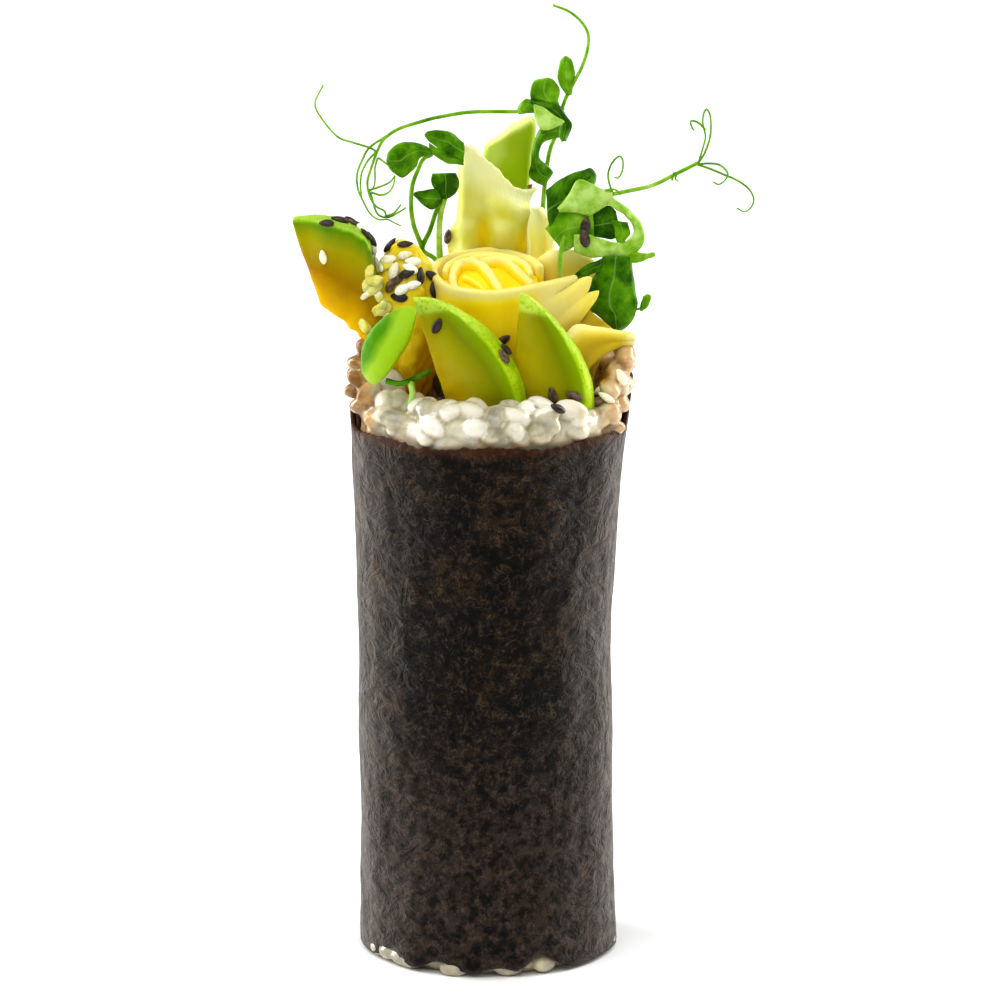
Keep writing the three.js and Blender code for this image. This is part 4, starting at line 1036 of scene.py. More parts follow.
def heart_floor(u, v):
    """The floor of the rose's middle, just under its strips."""
    angle, reach = u * 2 * math.pi, 9.3 * min(1, v * 2)
    drop = 0 if v <= 0.5 else (v - 0.5) * 22
    here = Vector((ROSE_X + reach * math.cos(angle), ROSE_Y + reach * math.sin(angle), 0))
    here.z = ROSE_RIM - 2 + heart_dome(here) - drop + 0.3 * noise.noise(here * 0.4)
    return here


def pale_edges(u, v):
    """A slice is palest along its upper edge and its sides, where it is thinnest."""
    return 0.35 + 0.65 * max(smoothstep(v, 0.55, 1), 1 - min(6 * min(u, 1 - u), 1) if v > 0.3 else 0)


def ginger_piece(name, across, along, place, node_name, material, thickness=GINGER, paleness=pale_edges):
    """A soft slice, with its paleness given from 0 to 1 over its surface."""
    piece = patch(name, across, along, place)
    thin = piece.data.attributes.new("thin", "FLOAT", "POINT")
    columns = across + 1
    for point in piece.data.vertices:
        thin.data[point.index].value = paleness(point.index % columns / across, point.index // columns / along)
    thicken(piece, thickness, 1)
    return finish_piece(piece, material, "ginger", node_name)


def rose_paleness(u, v):
    """Gold below its rim, and pale at its left side and along the torn end."""
    left = smoothstep(-rose_point(u, v).x, 5.5, 10) * smoothstep(v, 0.45, 0.9) * 0.75
    return max(smoothstep(v, 0.84, 0.98), left, smoothstep(u, 0.6, 0.84) * (0.55 + 0.4 * v))


ginger_piece("ginger_rose_turn", 120, 24, rose_point, "ginger_rose", rose_look, GINGER, rose_paleness)

heart_parts = [heart_strip(*strip) for strip in HEART_STRIPS]
heart_parts.append(weld(patch("heart_floor", 48, 20, heart_floor)))
rose_heart = join("ginger_rose_middle", heart_parts)
set_attribute(rose_heart, "thin", lambda here: max(0.3, smoothstep(
    here.z - ROSE_RIM - heart_dome(here), -2, -0.3)))
finish_piece(rose_heart, rose_look, "ginger", "ginger_rose_heart")

TALL_TOP = ((0, 155), (0.1, 156.1), (0.2, 155.7), (0.31, 153.8), (0.42, 152.2), (0.53, 151.1), (0.63, 149.3),
            (0.74, 147.7), (0.86, 147.1), (1, 147.6))
TALL_LEFT = ((0, -7.2), (0.1, -7.9), (0.24, -8.3), (0.32, -7.6), (0.4, -6), (0.6, -5.6), (0.85, -5.9), (1, -6.2))
TALL_RIGHT = ((0, 8.7), (0.2, 9.5), (0.4, 8.7), (0.55, 7.7), (0.8, 7.2), (0.92, 7.7), (1, 8.5))
TALL_SEAM = 132
# Two golden patches on the tall slice: a deeper gold one at the left, and a painted shadow at the right.
TALL_GOLD = ((-0.9, 138.2), (6.4, 136.4))


def tall_point(u, v):
    """The tall slice: a soft upright sheet with a leaning left side, a torn top and round folds."""
    height = mix(TALL_SEAM, along_line(TALL_TOP, u), v)
    across = mix(along_line(TALL_LEFT, v), along_line(TALL_RIGHT, v), u)
    depth = 15.6 - 2.0 * math.sin(math.pi * u)
    depth -= 2.6 * bell(across - 3.4, 3.2) * bell(height - 139.8, 4.7)
    depth -= 1.6 * bell(across + 4.5, 1.7) * smoothstep(height, 154, 134)
    depth += 0.9 * bell(across + 1.3, 1.5) * smoothstep(height, 147, 139)
    depth -= 1.2 * bell(height - 144.8 + across * 0.3, 1.75) * smoothstep(across, -2, 2)
    depth += smoothstep(u, 0.1, 0) * v
    return seen(across, height, depth) + 0.45 * noise.noise_vector(Vector((across, depth, height)) * 0.13)


def tall_whole(u, v):
    """The tall slice down to its foot: below what shows, it runs straight to the floor of the hollow."""
    if v >= 0.35:
        return tall_point(u, (v - 0.35) / 0.65)
    seam = tall_point(u, 0)
    return Vector((seam.x, seam.y, mix(TOPPING_FOOT, seam.z, v / 0.35)))


def tall_paleness(u, v):
    """Pale all over, whiter at its torn top, with two golden patches low down: a deeper gold patch at the left, and
    a painted shadow at the right.
    """
    here = tall_whole(u, v)
    gold = max(bell(here.x - x, 1.6) * bell(front_height(here) - height, 2.6) for x, height in TALL_GOLD)
    return 0.52 + 0.5 * smoothstep(v, 0.72, 1) + 0.2 * noise.noise(here * 0.3) - 1.1 * gold


tall = ginger_piece("ginger_tall_slice", 56, 84, tall_whole, "ginger_tall", tall_look, THIN_GINGER, tall_paleness)
set_attribute(tall, "blush", lambda here: smoothstep(here.z, 150.3, 152.8) * smoothstep(-here.x, 3.2, 5.5) * 0.8)


def slice_point(one_edge, other_edge, depths, cup):
    """A soft slice between two edges, each given in the front view from its foot to its tip."""
    edges = [[Vector((x, height, 0)) for x, height in edge] for edge in (one_edge, other_edge)]

    def place(u, v):
        left, right = (through(edge, v) for edge in edges)
        here = left.lerp(right, u)
        depth = mix(*depths, v) + cup * 4 * u * (1 - u) + 0.35 * math.sin(9 * u + 3 * v)
        return seen(here.x, here.y, depth) + 0.35 * noise.noise_vector(Vector((here.x, depth, here.y)) * 0.2)

    return place


def pale_sides(u, v):
    return 0.5 * smoothstep(abs(u - 0.5), 0.3, 0.5)


def lit_edge(u, v):
    """The lower fan slice is pale in a band along its upper edge and at its tip."""
    return max(0.75 * smoothstep(0.42 - u, 0, 0.3), smoothstep(v, 0.8, 1))


# Each small slice's look and paleness, its two edges, its depths at foot and tip, and its cup.
SMALL_SLICES = {
    "ginger_curl": (pale_look, pale_edges, ((6.8, 107.9), (6.8, 124.6), (6.8, 134.3), (7, 139.8), (7.9, 143.9)),
                    ((11.7, 107.9), (11.7, 124.6), (11.7, 134.3), (12.7, 139.8), (9.6, 143.5)), (11.6, 13), 0.9),
    "ginger_behind": (fan_look, pale_edges, ((9.6, 107.2), (8.5, 124.6), (8.1, 132), (11.5, 135.5)),
                      ((15.9, 107.2), (18.5, 124.6), (20.2, 132), (16.4, 135.3)), (8, 9), -1.2),
    "ginger_fan_upper": (fan_look, pale_sides, ((14.4, 106), (14.7, 114.9), (15.7, 121.1), (18.1, 124.1)),
                         ((19.3, 106), (20.4, 113), (22.5, 117.7), (24, 119.4)), (1.6, 3), -0.6),
    "ginger_fan_lower": (fan_look, lit_edge,
                         ((12.5, 106), (13.6, 115.9), (15.7, 120.2), (19.3, 119.8), (23.1, 119.2), (27.2, 118.6)),
                         ((17.8, 106), (18.3, 111.4), (19.8, 113.4), (21.5, 114.9), (24, 116.7), (27.2, 117.4)),
                         (-5, -1), -1.2),
}
for name, (look, paleness, *sizes) in SMALL_SLICES.items():
    ginger_piece(name + "_slice", 24, 36, slice_point(*sizes), name, look, THIN_GINGER, paleness)

# A thick slice folded over on itself: a mound with soft creases.
FOLD_MIDDLE = Vector((-15.8, 1.5, 120.6))
FOLD_REACH = Vector((6.5, 6.8, 15.8))
fold = primitive(bpy.ops.mesh.primitive_uv_sphere_add, "ginger_fold_slice", segments=96, ring_count=72, radius=1)
for point in fold.data.vertices:
    crease = 1 + 0.1 * math.cos(5 * math.atan2(-point.co.y, point.co.x))
    here = FOLD_MIDDLE + Vector((point.co.x * crease * FOLD_REACH.x, point.co.y * crease * FOLD_REACH.y,
                                 point.co.z * FOLD_REACH.z))
    point.co = (here + 0.6 * noise.noise_vector(here * 0.2) + 0.75 * noise.noise_vector(here * 0.42)) * MM
set_attribute(fold, "thin", lambda here: smoothstep(here.z, 108, 134) * 0.5 + 0.5 * noise.noise(here * 0.35))
finish_piece(fold, fold_look, "ginger", "ginger_fold")


# Pea shoots
# Fresh pea shoots: round green stalks with oval leaves, folded here and there to show the pale
# underside, and thread-like tendrils that curl at their ends.

STALK = 0.5
TENDRIL = 0.22
TENDRIL_TIP = TENDRIL * 0.7
LEAF = 0.45


def tube(name, route, base, tip, steps, sides=8):
    """A round stalk along a smooth curve, tapering from base to tip and closed at both ends."""
    route = [Vector(spot) for spot in route]
    centres = [through(route, step / steps) for step in range(steps + 1)]
    side = Vector((0, 1, 0.2))
    frames = []
    for step in range(steps + 1):
        ahead = (centres[min(step + 1, steps)] - centres[max(step - 1, 0)]).normalized()
        side = (side - ahead * side.dot(ahead)).normalized()
        frames.append((side.copy(), ahead.cross(side)))
    rows = steps + 4

    def place(u, v):
        row = round(v * rows)
        step = min(max(row - 2, 0), steps)
        radius = mix(base, tip, step / steps) * (0 if row in (0, rows) else 0.75 if row in (1, rows - 1) else 1)
        across, up = frames[step]
        turn = 2 * math.pi * u
        return centres[step] + (across * math.cos(turn) + up * math.sin(turn)) * radius

    return weld(patch(name, sides, rows, place))


def stalk(route, base, tip, steps=40, tone=0.55, sides=8):
    piece = tube("stalk", route, base, tip, steps, sides)
    set_attribute(piece, "tone", lambda here: tone)
    set_attribute(piece, "leafy", lambda here: 0)
    return piece


def tendrils(routes, steps, tone):
    return [stalk(route, TENDRIL, TENDRIL_TIP, steps, tone, 6) for route in routes]


def leaf(name, one_edge, other_edge, depths, cup, tone, round_tip=False):
    """A leaf between two edges, each given in the front view from its base to its tip."""
    edges = [[Vector((x, height, 0)) for x, height in edge] for edge in (one_edge, other_edge)]

    def place(u, v):
        left, right = (through(edge, v) for edge in edges)
        closing = math.sqrt(max(0.002, 1 - (max(0, v - 0.8) / 0.2) ** 2)) if round_tip else 1
        here = left.lerp(right, 0.5 + (u - 0.5) * closing)
        depth = mix(*depths, v) + cup * 4 * u * (1 - u)
        depth += 0.2 * math.sin(9 * v + 4 * u) * abs(2 * u - 1)
        return seen(here.x, here.y, depth) + 0.22 * noise.noise_vector(Vector((here.x, here.y, depth)) * 0.45)

    piece = patch(name, 14, 28, place)
    set_attribute(piece, "tone", lambda here: tone + 0.16 * noise.noise(here * 0.35))
    set_attribute(piece, "leafy", lambda here: 1)
    return thicken(piece, LEAF)


def shoot_material():
    """Green, lighter by tone, with a rib and side ribs along each leaf."""
    material, tree = new_material("pea_shoot")
    texture_place = node(tree, "ShaderNodeTexCoord").outputs
    clouds = cloud(tree, texture_place["Object"], 320.0, 5.0, 0.6)
    green = ramp(tree, plus(tree, attribute(tree, "tone"), swing(tree, clouds, 1.3)),
                 (0, srgb(16, 74, 0)), (0.25, srgb(70, 128, 0)), (0.5, srgb(106, 162, 8)),
                 (0.75, srgb(146, 188, 62)), (1, srgb(190, 218, 126)))
    across = node(tree, "ShaderNodeSeparateXYZ", {0: texture_place["UV"]}).outputs
    middle = maths(tree, "ABSOLUTE", maths(tree, "SUBTRACT", across[0], 0.5))
    slant = plus(tree, across[1], times(tree, middle, -0.7))
    wave = maths(tree, "ABSOLUTE", maths(tree, "SINE", times(tree, slant, 24.0)))
    side_ribs = times(tree, thin_line(tree, wave, 0.16), 0.45)
    veins = maths(tree, "MAXIMUM", thin_line(tree, middle, 0.035), side_ribs)
    veins = times(tree, veins, attribute(tree, "leafy"))
    relief = maths(tree, "SUBTRACT", clouds, times(tree, veins, 0.6))
    surface(tree, {
        "Base Color": blend(tree, times(tree, veins, 0.35), green, srgb(168, 206, 104)),
        "Roughness": ramp(tree, clouds, (0.3, grey(0.3)), (0.7, grey(0.5))),
        "Normal": bump(tree, relief, 0.3, 0.0002),
        "Subsurface Weight": 0.2, "Subsurface Radius": (0.5, 1.0, 0.1), "Subsurface Scale": 0.0008,
        "Specular IOR Level": 0.45, "Specular Tint": (0.6, 1.0, 0.1, 1.0)})
    return material


shoot_look = shoot_material()


def shoot(name, node_name, parts):
    """Joins stalks and leaves as one shoot."""
    finish_piece(join(name, parts), shoot_look, "shoot", node_name)


TOP_TENDRILS = (
    ((-19.4, 0.3, 156.7), (-22.5, -1, 154.8), (-23.8, -2, 152.7), (-24.8, -2.4, 150.1), (-24.7, -2.4, 147.3),
     (-23.8, -2.2, 145), (-22.5, -1.8, 142.5), (-21, -1.4, 141.2), (-19.1, -1.2, 141.1), (-17.8, -1, 140.4),
     (-16.6, -1, 139.9)),
    ((-21, -1, 154.2), (-22.7, -1.4, 152.5), (-23.9, -1.8, 150.3), (-24.2, -2, 148), (-24, -2.2, 145.5)),
    ((-21, -1, 152.8), (-21.5, -0.4, 150.8), (-21.5, 0, 148.7), (-21.7, -0.4, 147.3), (-22.7, -1.6, 146.4)),
    ((-21.2, -1, 154), (-22.5, -1.2, 154.8), (-25.5, -2, 155.9), (-28.4, -2, 157), (-31.2, -1, 160),
     (-32.7, 1, 162.7), (-31.2, 3, 165.9)),
    ((-22.3, -1.8, 146.4), (-21.5, -1, 143.1), (-20.6, -0.6, 141.7), (-18.9, -0.4, 141.4), (-17.2, 0, 142.2),
     (-15.7, 0.4, 143.1)),
    ((-19.7, -1.2, 141.7), (-18, -1, 142.3), (-16.6, -0.6, 143.9)),
    ((-22.7, -1.8, 146.8), (-21.2, -1, 147.1), (-18.9, 0, 147.9), (-17.8, 1.6, 148.9)),
    ((-22.3, -2, 146.5), (-20.4, -1.8, 145.9), (-18.9, -1, 146.3), (-18, 0, 147.6), (-17.8, 1.6, 148.9)),
    ((-20.8, -1, 152.8), (-19.7, 0.4, 151.7), (-18.7, 2.4, 150.5)),
)

shoot("top_shoot", "shoot_top", [
    stalk(((9, 17, 109.5), (9.2, 17, 120), (9.9, 16.6, 138), (11, 13.6, 150), (12.5, 11, 155.3),
           (14, 8, 161.9), (17.4, 7, 169), (18.5, 6.4, 173.8), (17.6, 6, 176.8), (15, 5, 179.4),
           (11.8, 4, 180.9)), STALK, TENDRIL, 70, 0.6),
    leaf("bud", ((14.6, 164.8), (13.2, 167), (12.9, 168.9), (13.2, 171.2), (14, 172.2)),
         ((15.2, 165.2), (15.7, 167.6), (15.8, 169.7), (15.3, 171.4), (14.4, 172.2)),
         (7.6, 6.6), -0.6, 0.46, True),
    leaf("rounded", ((12.1, 162.7), (10, 163.5), (7.9, 164.3), (7.7, 166.2), (8.7, 167.6), (10.6, 168)),
         ((13.2, 162.5), (12.7, 163.9), (13, 165.4), (12.9, 166.6), (12.1, 167.6), (11, 168)),
         (8.5, 7), -0.8, 0.38, True),
    leaf("curled",
         ((7.5, 164.2), (10.8, 163.5), (12.9, 162.7), (14.2, 161.1), (15.2, 159.4), (14.7, 157.5),
          (14.2, 156.1)),
         ((7.7, 163.4), (9.8, 162.3), (11.9, 161.1), (13.4, 159.8), (13.2, 158.4), (13.2, 157.3), (13.8, 156.1)),
         (7.6, 6), -0.7, 0.1),
    leaf("facet", ((8, 163.7), (9.8, 162.7), (11.9, 161.3), (14, 159.8)),
         ((8.3, 162.1), (8.7, 160.4), (10, 158.2), (13.6, 159.4)), (7.2, 5.2), -0.4, 0.88),
    leaf("small", ((5.3, 162.1), (5.9, 163.3), (6.8, 164.3), (8.1, 163.5)),
         ((5.5, 161.5), (6.6, 161.8), (7.6, 162.1), (8.7, 162.9)), (9, 7.4), -0.3, 0.36),
    leaf("hooked",
         ((13.6, 157.1), (11.7, 156.8), (10, 156.1), (9.3, 154.5), (9.4, 153), (10.6, 152), (11.9, 150.5)),
         ((13.2, 159.4), (11.2, 159.2), (9.3, 158.4), (8.3, 155.3), (7.7, 152.2), (7.6, 149.5), (10.4, 147.9)),
         (8.6, 14.4), -0.5, 0.28),
    stalk(((14, 8.6, 160.6), (10.4, 8.6, 160.1), (5.7, 8.4, 159.9), (-3.7, 6.2, 160.2), (-10.9, 5.7, 159.1)),
          STALK * 0.8, STALK * 0.7, 30),
    stalk(((-10.2, 6, 159.2), (-13.2, 4, 158.7), (-17, 2, 157.8), (-19.7, 0, 156.3), (-21, -1, 154.2),
           (-22.1, -2, 151.3), (-22.9, -2, 148.4), (-22.5, -2, 145.9), (-21.4, -1.6, 143.8),
           (-19.8, -1.4, 142.8), (-19.3, -1.2, 141.4)), STALK * 0.7, TENDRIL_TIP, 60, 0.5, 6),
    *tendrils(TOP_TENDRILS, 36, 0.5),
])

shoot("left_shoot", "shoot_left", [
    stalk(((-9.8, 10.6, TOPPING_FOOT), (-10, 10.6, 120), (-9.8, 10.6, 129.9), (-12.5, 9.4, 132.9),
           (-13.1, 8.4, 134.7), (-14.3, 7, 138.2), (-14.8, 6.4, 141.4), (-14.8, 6, 144.6), (-14.4, 5.8, 147),
           (-13.4, 5.8, 149.5), (-12.5, 5.8, 151.3), (-10.8, 5.8, 152.2)), STALK, STALK * 0.8, 60, 0.55),
    stalk(((-13.2, 7.8, 131.4), (-12.7, 8.6, 134.1), (-11.3, 8, 137.3), (-10.2, 7.4, 140.8), (-8.9, 7.2, 143.5)),
          STALK, STALK * 0.8, 30, 0.3),
    stalk(((-9.4, 9, 129.9), (-9.6, 8.6, 136.2), (-9.3, 7.8, 140.3), (-8.5, 7.2, 143.5)),
          STALK * 1.3, STALK, 24, 0.85),
    leaf("round",
         ((-11.2, 154.3), (-13.4, 155.5), (-15.9, 155.8), (-17.8, 155.1), (-18.9, 153.8), (-19.3, 152.4)),
         ((-11, 153.4), (-13.2, 153), (-14, 151.2), (-16.3, 149.2), (-18.3, 150.3), (-19.3, 151.8)),
         (5.8, 3), -1, 0.34, True),
    leaf("high", ((-4.9, 155.7), (-7.2, 157.6), (-9.4, 158.2), (-11.3, 158), (-12.2, 157.5)),
         ((-4.9, 152.4), (-7.2, 153.3), (-8.9, 154.2), (-10.8, 155.5), (-12.1, 156.9)),
         (6.5, 5.6), -0.5, 0.3, True),
    leaf("under", ((-11.5, 155.5), (-9.3, 154.5), (-7.2, 153.6), (-4.9, 152.8)),
         ((-11.3, 154), (-9.6, 152.8), (-7.9, 151.9), (-4.9, 151.6)), (5.8, 6.4), 0.1, 0.3),
    leaf("square", ((-8.9, 144.8), (-10, 146.6), (-10.8, 147.9), (-10.8, 149.9)),
         ((-7.7, 145.4), (-6.6, 146.4), (-5.7, 148.3), (-6.4, 149.9)), (7.4, 6.2), -0.5, 0.08),
    leaf("low", ((-9.3, 144.6), (-10.8, 143.2), (-12.5, 143.9), (-14.2, 145.6)),
         ((-9.4, 145.8), (-10.6, 146.9), (-12.5, 146.5), (-14.2, 146.1)), (7.2, 4.4), -0.6, 0.12, True),
])

RIGHT_TENDRILS = (
    ((23.2, 5, 144.8), (22.5, 4.6, 146.7), (22.2, 4.4, 148.7), (22.8, 4.4, 150.6), (23.8, 4.6, 151.8),
     (24.5, 4.8, 152), (25, 5, 151), (24.9, 5.4, 149.2), (24.2, 5.6, 147.8), (23.4, 5.8, 147.8)),
    ((21.7, 4.8, 145.5), (22.9, 4.4, 145.8), (23.8, 4.4, 145.6), (24.6, 4.8, 144.7)),
    ((39.1, 2.4, 151.3), (40.3, 2, 153.3), (41.2, 2, 156), (41.4, 2, 158.3), (41.2, 2, 160.5),
     (40.5, 2, 161.5), (40, 2.4, 160.4), (39.9, 2.8, 158.6), (40.4, 3, 156.2), (39.9, 2.8, 153.9),
     (39.1, 2.4, 151.3)),
    ((40.4, 2.8, 157.4), (39.3, 3, 158.6), (38.2, 3, 159.1), (37.6, 2.6, 159), (37.8, 2.2, 158.1),
     (38.2, 2, 157.5)),
    ((39.1, 2.2, 151), (40.8, 2, 151.2), (42.7, 1.6, 151.1), (44, 1.4, 150.3), (44.6, 1.4, 149.2),
     (44, 1.6, 148), (42.9, 2, 147.2), (41.9, 2.4, 147.6)),
    ((38.7, 2.3, 151), (41.2, 2, 150.2), (43.8, 2, 149.1), (46.5, 2, 147.9), (48.6, 2, 146.3),
     (49.5, 2, 144.4), (49, 2, 142.8), (47.8, 2, 142), (46.3, 2, 142.7)),
    ((34.2, 3, 147.8), (34.5, 2.4, 149.2), (35, 2, 149.2), (34.8, 1.8, 148.3), (35.3, 2.2, 147.8)),
)

shoot("right_shoot", "shoot_right", [
    stalk(((13.4, 4.4, TOPPING_FOOT), (13.4, 4.4, 118), (13.2, 4.4, 130), (13.8, 4.6, 136), (15.6, 5.4, 141),
           (22, 5.4, 144.3), (30.1, 4, 146.5), (34.7, 3, 148.9), (39.1, 2.2, 151.3)),
          STALK, STALK * 0.7, 70, 0.66),
    *tendrils(RIGHT_TENDRILS, 44, 0.42),
    leaf("broad", ((10.4, 146.4), (12.9, 148.5), (15.7, 150), (18.3, 150.9), (19.7, 150.9)),
         ((11.2, 139.4), (13.8, 140.8), (16.4, 143.7), (18.5, 146.4), (20.2, 148.7)),
         (5.4, 9), -1.2, 0.12, True),
    leaf("light", ((12.7, 143.1), (15.1, 146.2), (16.8, 148.7), (19.1, 147.9), (21.4, 146.8), (22.9, 146.4)),
         ((12.9, 142.7), (15.7, 142.5), (18.5, 141.9), (20.8, 142.9), (22.1, 143.9), (23.1, 145.2)),
         (3.6, 5.2), -0.5, 0.9),
    leaf("middle", ((10.4, 139.4), (12.9, 142.5), (15.9, 142.7), (19.3, 142.3)),
         ((13.8, 134.9), (15.5, 135.7), (17.4, 136.9), (19.7, 137.7)), (5.2, 4.8), -0.5, 0.52),
    leaf("shade", ((18.5, 141.3), (20, 142.7), (22.3, 143.7), (23.8, 142.5)),
         ((18.5, 138.2), (20.8, 137.7), (22.9, 137.3), (24.2, 138.2)), (6, 5.2), -0.5, 0.04),
    leaf("loop",
         ((20.8, 146.2), (24.2, 144.4), (26.5, 142.5), (28.2, 140.4), (29, 138), (28.4, 135.7), (26.6, 134),
          (24.2, 133.2), (21.4, 134), (18.9, 133.8), (15.9, 134.9)),
         ((21.2, 144.4), (23.1, 143.5), (25.1, 142.3), (26.6, 140.8), (27.2, 139), (26.6, 137.7),
          (25.3, 136.7), (23.1, 136.7), (20.8, 137.5), (18.3, 138.2), (15.7, 138)), (4.8, 3.2), -0.3, 0.8),
    leaf("inner", ((24.2, 136.3), (23.4, 138.6), (22.9, 141)), ((25.3, 136.7), (26.3, 138.6), (25.9, 140.4)),
         (3.8, 4.6), -0.3, 0.3),
    leaf("point", ((26.1, 135.1), (28.4, 134.6), (31.1, 134.4)), ((26.1, 132.6), (28.7, 133.1), (31.1, 134)),
         (3.8, 2.6), -0.2, 0.55),
    leaf("lobe",
         ((21.4, 134), (19.7, 130.1), (18, 126.6), (17.6, 124.4), (20, 123.1), (21.9, 121.3), (23.4, 119.4)),
         ((26.3, 133.8), (27, 130.1), (27.2, 127.7), (27.8, 125), (27.2, 122.3), (25.9, 120.8), (24.6, 119.4)),
         (3.8, 5.2), -1.3, 0.2, True),
    leaf("stem", ((21.2, 133.6), (18, 132), (15.7, 130.1), (13.8, 127.2)),
         ((20.8, 131), (18.9, 130.5), (16.8, 128.5), (14.7, 127)), (3.8, 3), -0.2, 0.16),
    stalk(((26.4, 4.4, 123), (27.8, 4.4, 122.8), (28.9, 4.4, 123.2)), TENDRIL, TENDRIL, 12, 0.3, 6),
    leaf("stray", ((28.4, 123.5), (28.5, 125), (28.9, 126.3), (29.6, 126.6)),
         ((28.7, 123.6), (29.6, 124.4), (30.3, 125.5), (30.2, 126.4)), (4.4, 4.2), -0.1, 0.46, True),
])

shoot("front_shoot", "shoot_front", [
    stalk(((-19.4, -16.4, 113.5), (-16.6, -16.4, 113), (-13.8, -15.8, 113.9), (-11.2, -14.6, 115)),
          STALK * 1.2, STALK * 0.9, 24, 0.2),
    stalk(((-14.8, -16, 113.4), (-14.4, -16.4, 111), (-15, -16.8, 108.6)), STALK * 1.3, STALK, 16, 0.85),
])


# Sesame
# Toasted black and white sesame, sprinkled over the toppings, and a few crumbs of ginger in the
# thickest heap. Each seed is a flat drop that lies on what it fell on.

SEED = Vector((1.75, 3.1, 1.1))
CRUMB = Vector((2.2, 2.9, 1.7))
surfaces = [tree_of(obj) for obj in bpy.context.scene.objects
            if obj.type == "MESH" and "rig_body" in obj and "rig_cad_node" not in obj]
seed_draw = random.Random(11)


def seed_mesh():
    """One seed: a flat oval, a little narrower at one end."""
    seed = primitive(bpy.ops.mesh.primitive_uv_sphere_add, "seed", segments=12, ring_count=8, radius=0.5)
    for point in seed.data.vertices:
        x, y, z = point.co.x, point.co.z, point.co.y
        narrow = 1 - 0.28 * smoothstep(y, -0.1, 0.5)
        point.co = Vector((x * narrow * SEED.x, y * SEED.y, z * narrow * SEED.z)) * MM
    return seed


def crumb_mesh():
    """One crumb: a small uneven lump."""
    crumb = primitive(bpy.ops.mesh.primitive_ico_sphere_add, "crumb", subdivisions=3, radius=0.5)
    for point in crumb.data.vertices:
        here = point.co * (1 + 0.5 * noise.noise(point.co * 3))
        point.co = here * CRUMB * MM
    return crumb


def seed_turn(across, height, tilt, size, lift=0.3):
    """Lays a seed where the line of sight through (across, height) meets the toppings, or gives None."""
    best = None
    for drop in range(8):
        ray = (Vector((across, 0, height - drop / 2)) * MM - camera_place).normalized()
        for tree in surfaces:
            spot, normal, _, distance = tree.ray_cast(camera_place, ray)
            if spot is not None and (best is None or distance < best[2]):
                best = (spot, normal, distance)
        if best:
            break
    if not best:
        return None
    spot, normal, _ = best
    if normal.dot(ray) > 0:
        normal = -normal
    aim = Vector((math.cos(math.radians(tilt)), 0, math.sin(math.radians(tilt))))
    along = (aim - normal * aim.dot(normal)).normalized()
    return facing(spot / MM + normal * lift * SEED.z, along, normal, size)


# Each seed's place across, its height in the front view, its tilt in degrees and, if it is
# small, its size. Each crumb's place across, its height and its size.
BLACK_SEEDS = ((-9.828, 120.563, 60), (2.457, 117.845, 30), (2.835, 115.903, 170), (2.457, 114.544, 110),
               (11.907, 107.165, 105), (15.876, 106.971, 160), (12.663, 104.447, 170), (19.845, 105.612, 165),
               (-7.749, 138.621, 85, 0.8), (-10.962, 130.078, 150), (-10.773, 127.359, 85),
               (17.955, 139.786, 80), (17.766, 137.262, 100), (7.56, 147.942, 90, 0.45),
               (-30.618, 139.981, 178), (-28.161, 140.563, 160), (-26.082, 141.922, 20, 0.8),
               (-25.326, 140.369, 170), (-22.491, 139.981, 150), (-23.436, 137.845, 110),
               (-19.845, 138.427, 115), (-18.522, 136.291, 70), (-15.876, 135.903, 10), (-18.711, 128.33, 60),
               (-17.199, 129.301, 30), (-15.498, 130.466, 15), (-13.23, 130.078, 60), (-17.01, 126, 170))
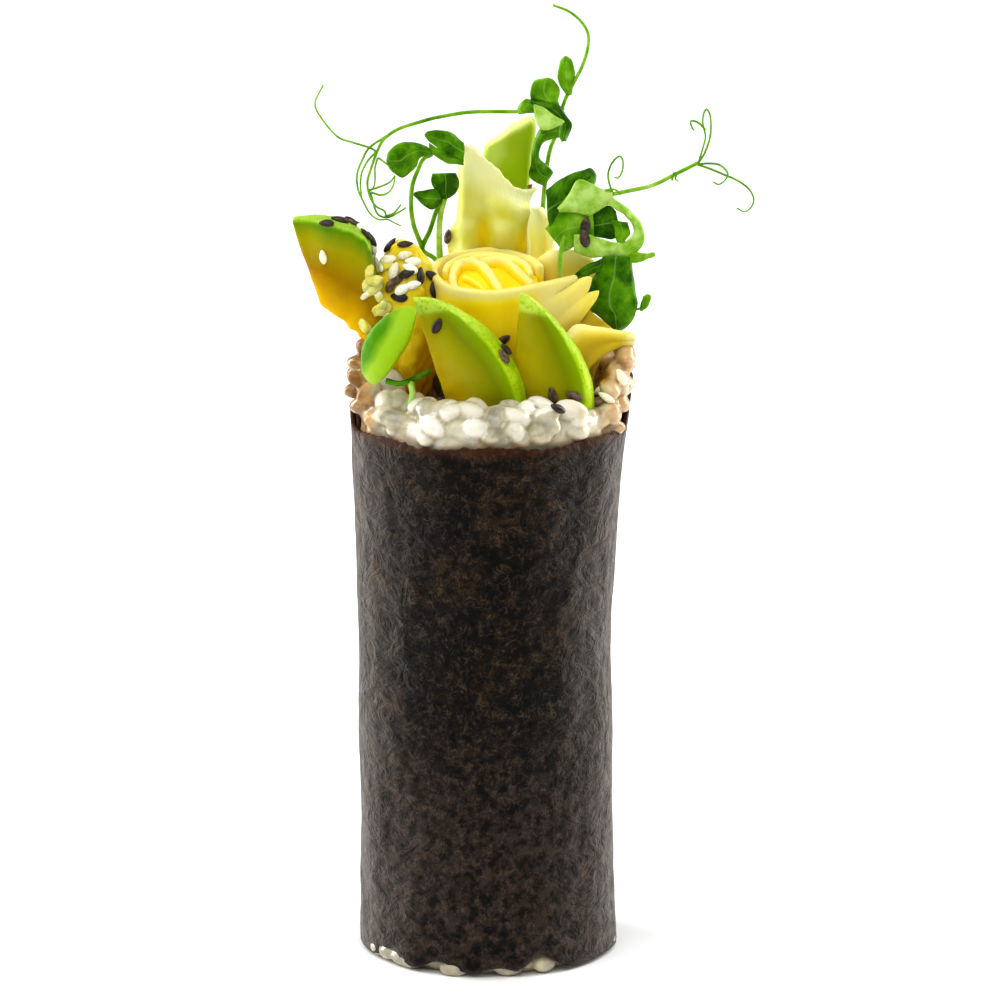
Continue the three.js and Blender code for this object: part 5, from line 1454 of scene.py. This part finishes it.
WHITE_SEEDS = ((-31.185, 133.767, 100, 0.85), (20.79, 107.942, 175), (22.113, 106.971, 170),
               (24.57, 110.66, 120), (-21.546, 133.961, 100), (-18.9, 133.184, 0), (-17.955, 131.049, 70),
               (-14.931, 131.437, 150), (-14.364, 132.796, 170), (-15.876, 134.155, 20),
               (-19.278, 135.903, 30), (-20.79, 137.456, 100), (-22.113, 139.01, 120), (-24.192, 139.01, 60),
               (-22.68, 127.553, 80, 0.8), (-23.436, 126.388, 40, 0.7), (-21.168, 126.777, 130, 0.7),
               (-19.467, 122.893, 90, 0.8), (-16.254, 127.553, 25), (-14.364, 128.33, 20),
               (-20.034, 132.019, 140, 0.8))
CRUMBS = ((-22.491, 130.854, 0.8), (-21.546, 129.301, 1.1), (-23.058, 128.33, 0.8), (-21.924, 127.553, 1.1),
          (-20.79, 126.388, 0.8), (-20.034, 124.641, 1.1), (-20.412, 123.67, 1.2), (-23.436, 120.563, 0.9),
          (-20.034, 135.126, 0.9), (-21.168, 132.408, 0.9), (-19.278, 132.019, 0.8))

def seed_material(name, dark, middle, light):
    material, tree = new_material(name)
    specks = cloud(tree, object_place(tree), 1400.0, 3.0)
    share = plus(tree, times(tree, attribute(tree, "tone"), 0.35), times(tree, specks, 0.65))
    surface(tree, {
        "Base Color": ramp(tree, share, (0.2, dark), (0.5, middle), (0.8, light)),
        "Roughness": ramp(tree, specks, (0.3, grey(0.3)), (0.7, grey(0.5))),
        "Normal": bump(tree, specks, 0.35, 0.0001),
        "Specular IOR Level": 0.5})
    return material


def seeds_on(name, places, material):
    turns = []
    for across, height, tilt, *scale in places:
        size = (0.95 + 0.25 * seed_draw.random()) * (scale[0] if scale else 1)
        turn = seed_turn(across, height, tilt, size)
        if turn:
            turns.append((turn, seed_draw.random()))
    finish_piece(stamp(seed_mesh(), turns, name), material, "ginger")


crumb_turns = [(seed_turn(across, height, seed_draw.random() * 180, size, 0.1), seed_draw.random())
               for across, height, size in CRUMBS]
crumbs = stamp(crumb_mesh(), [turn for turn in crumb_turns if turn[0]], "ginger_crumbs")
set_attribute(crumbs, "thin", lambda here: 0.8 + 0.4 * noise.noise(here * 0.5))
finish_piece(crumbs, fold_look, "ginger")
seeds_on("black_sesame", BLACK_SEEDS,
         seed_material("sesame_black", srgb(14, 6, 2), srgb(56, 38, 28), srgb(150, 118, 92)))
seeds_on("white_sesame", WHITE_SEEDS,
         seed_material("sesame_white", srgb(238, 224, 176), srgb(250, 246, 226), srgb(255, 254, 248)))
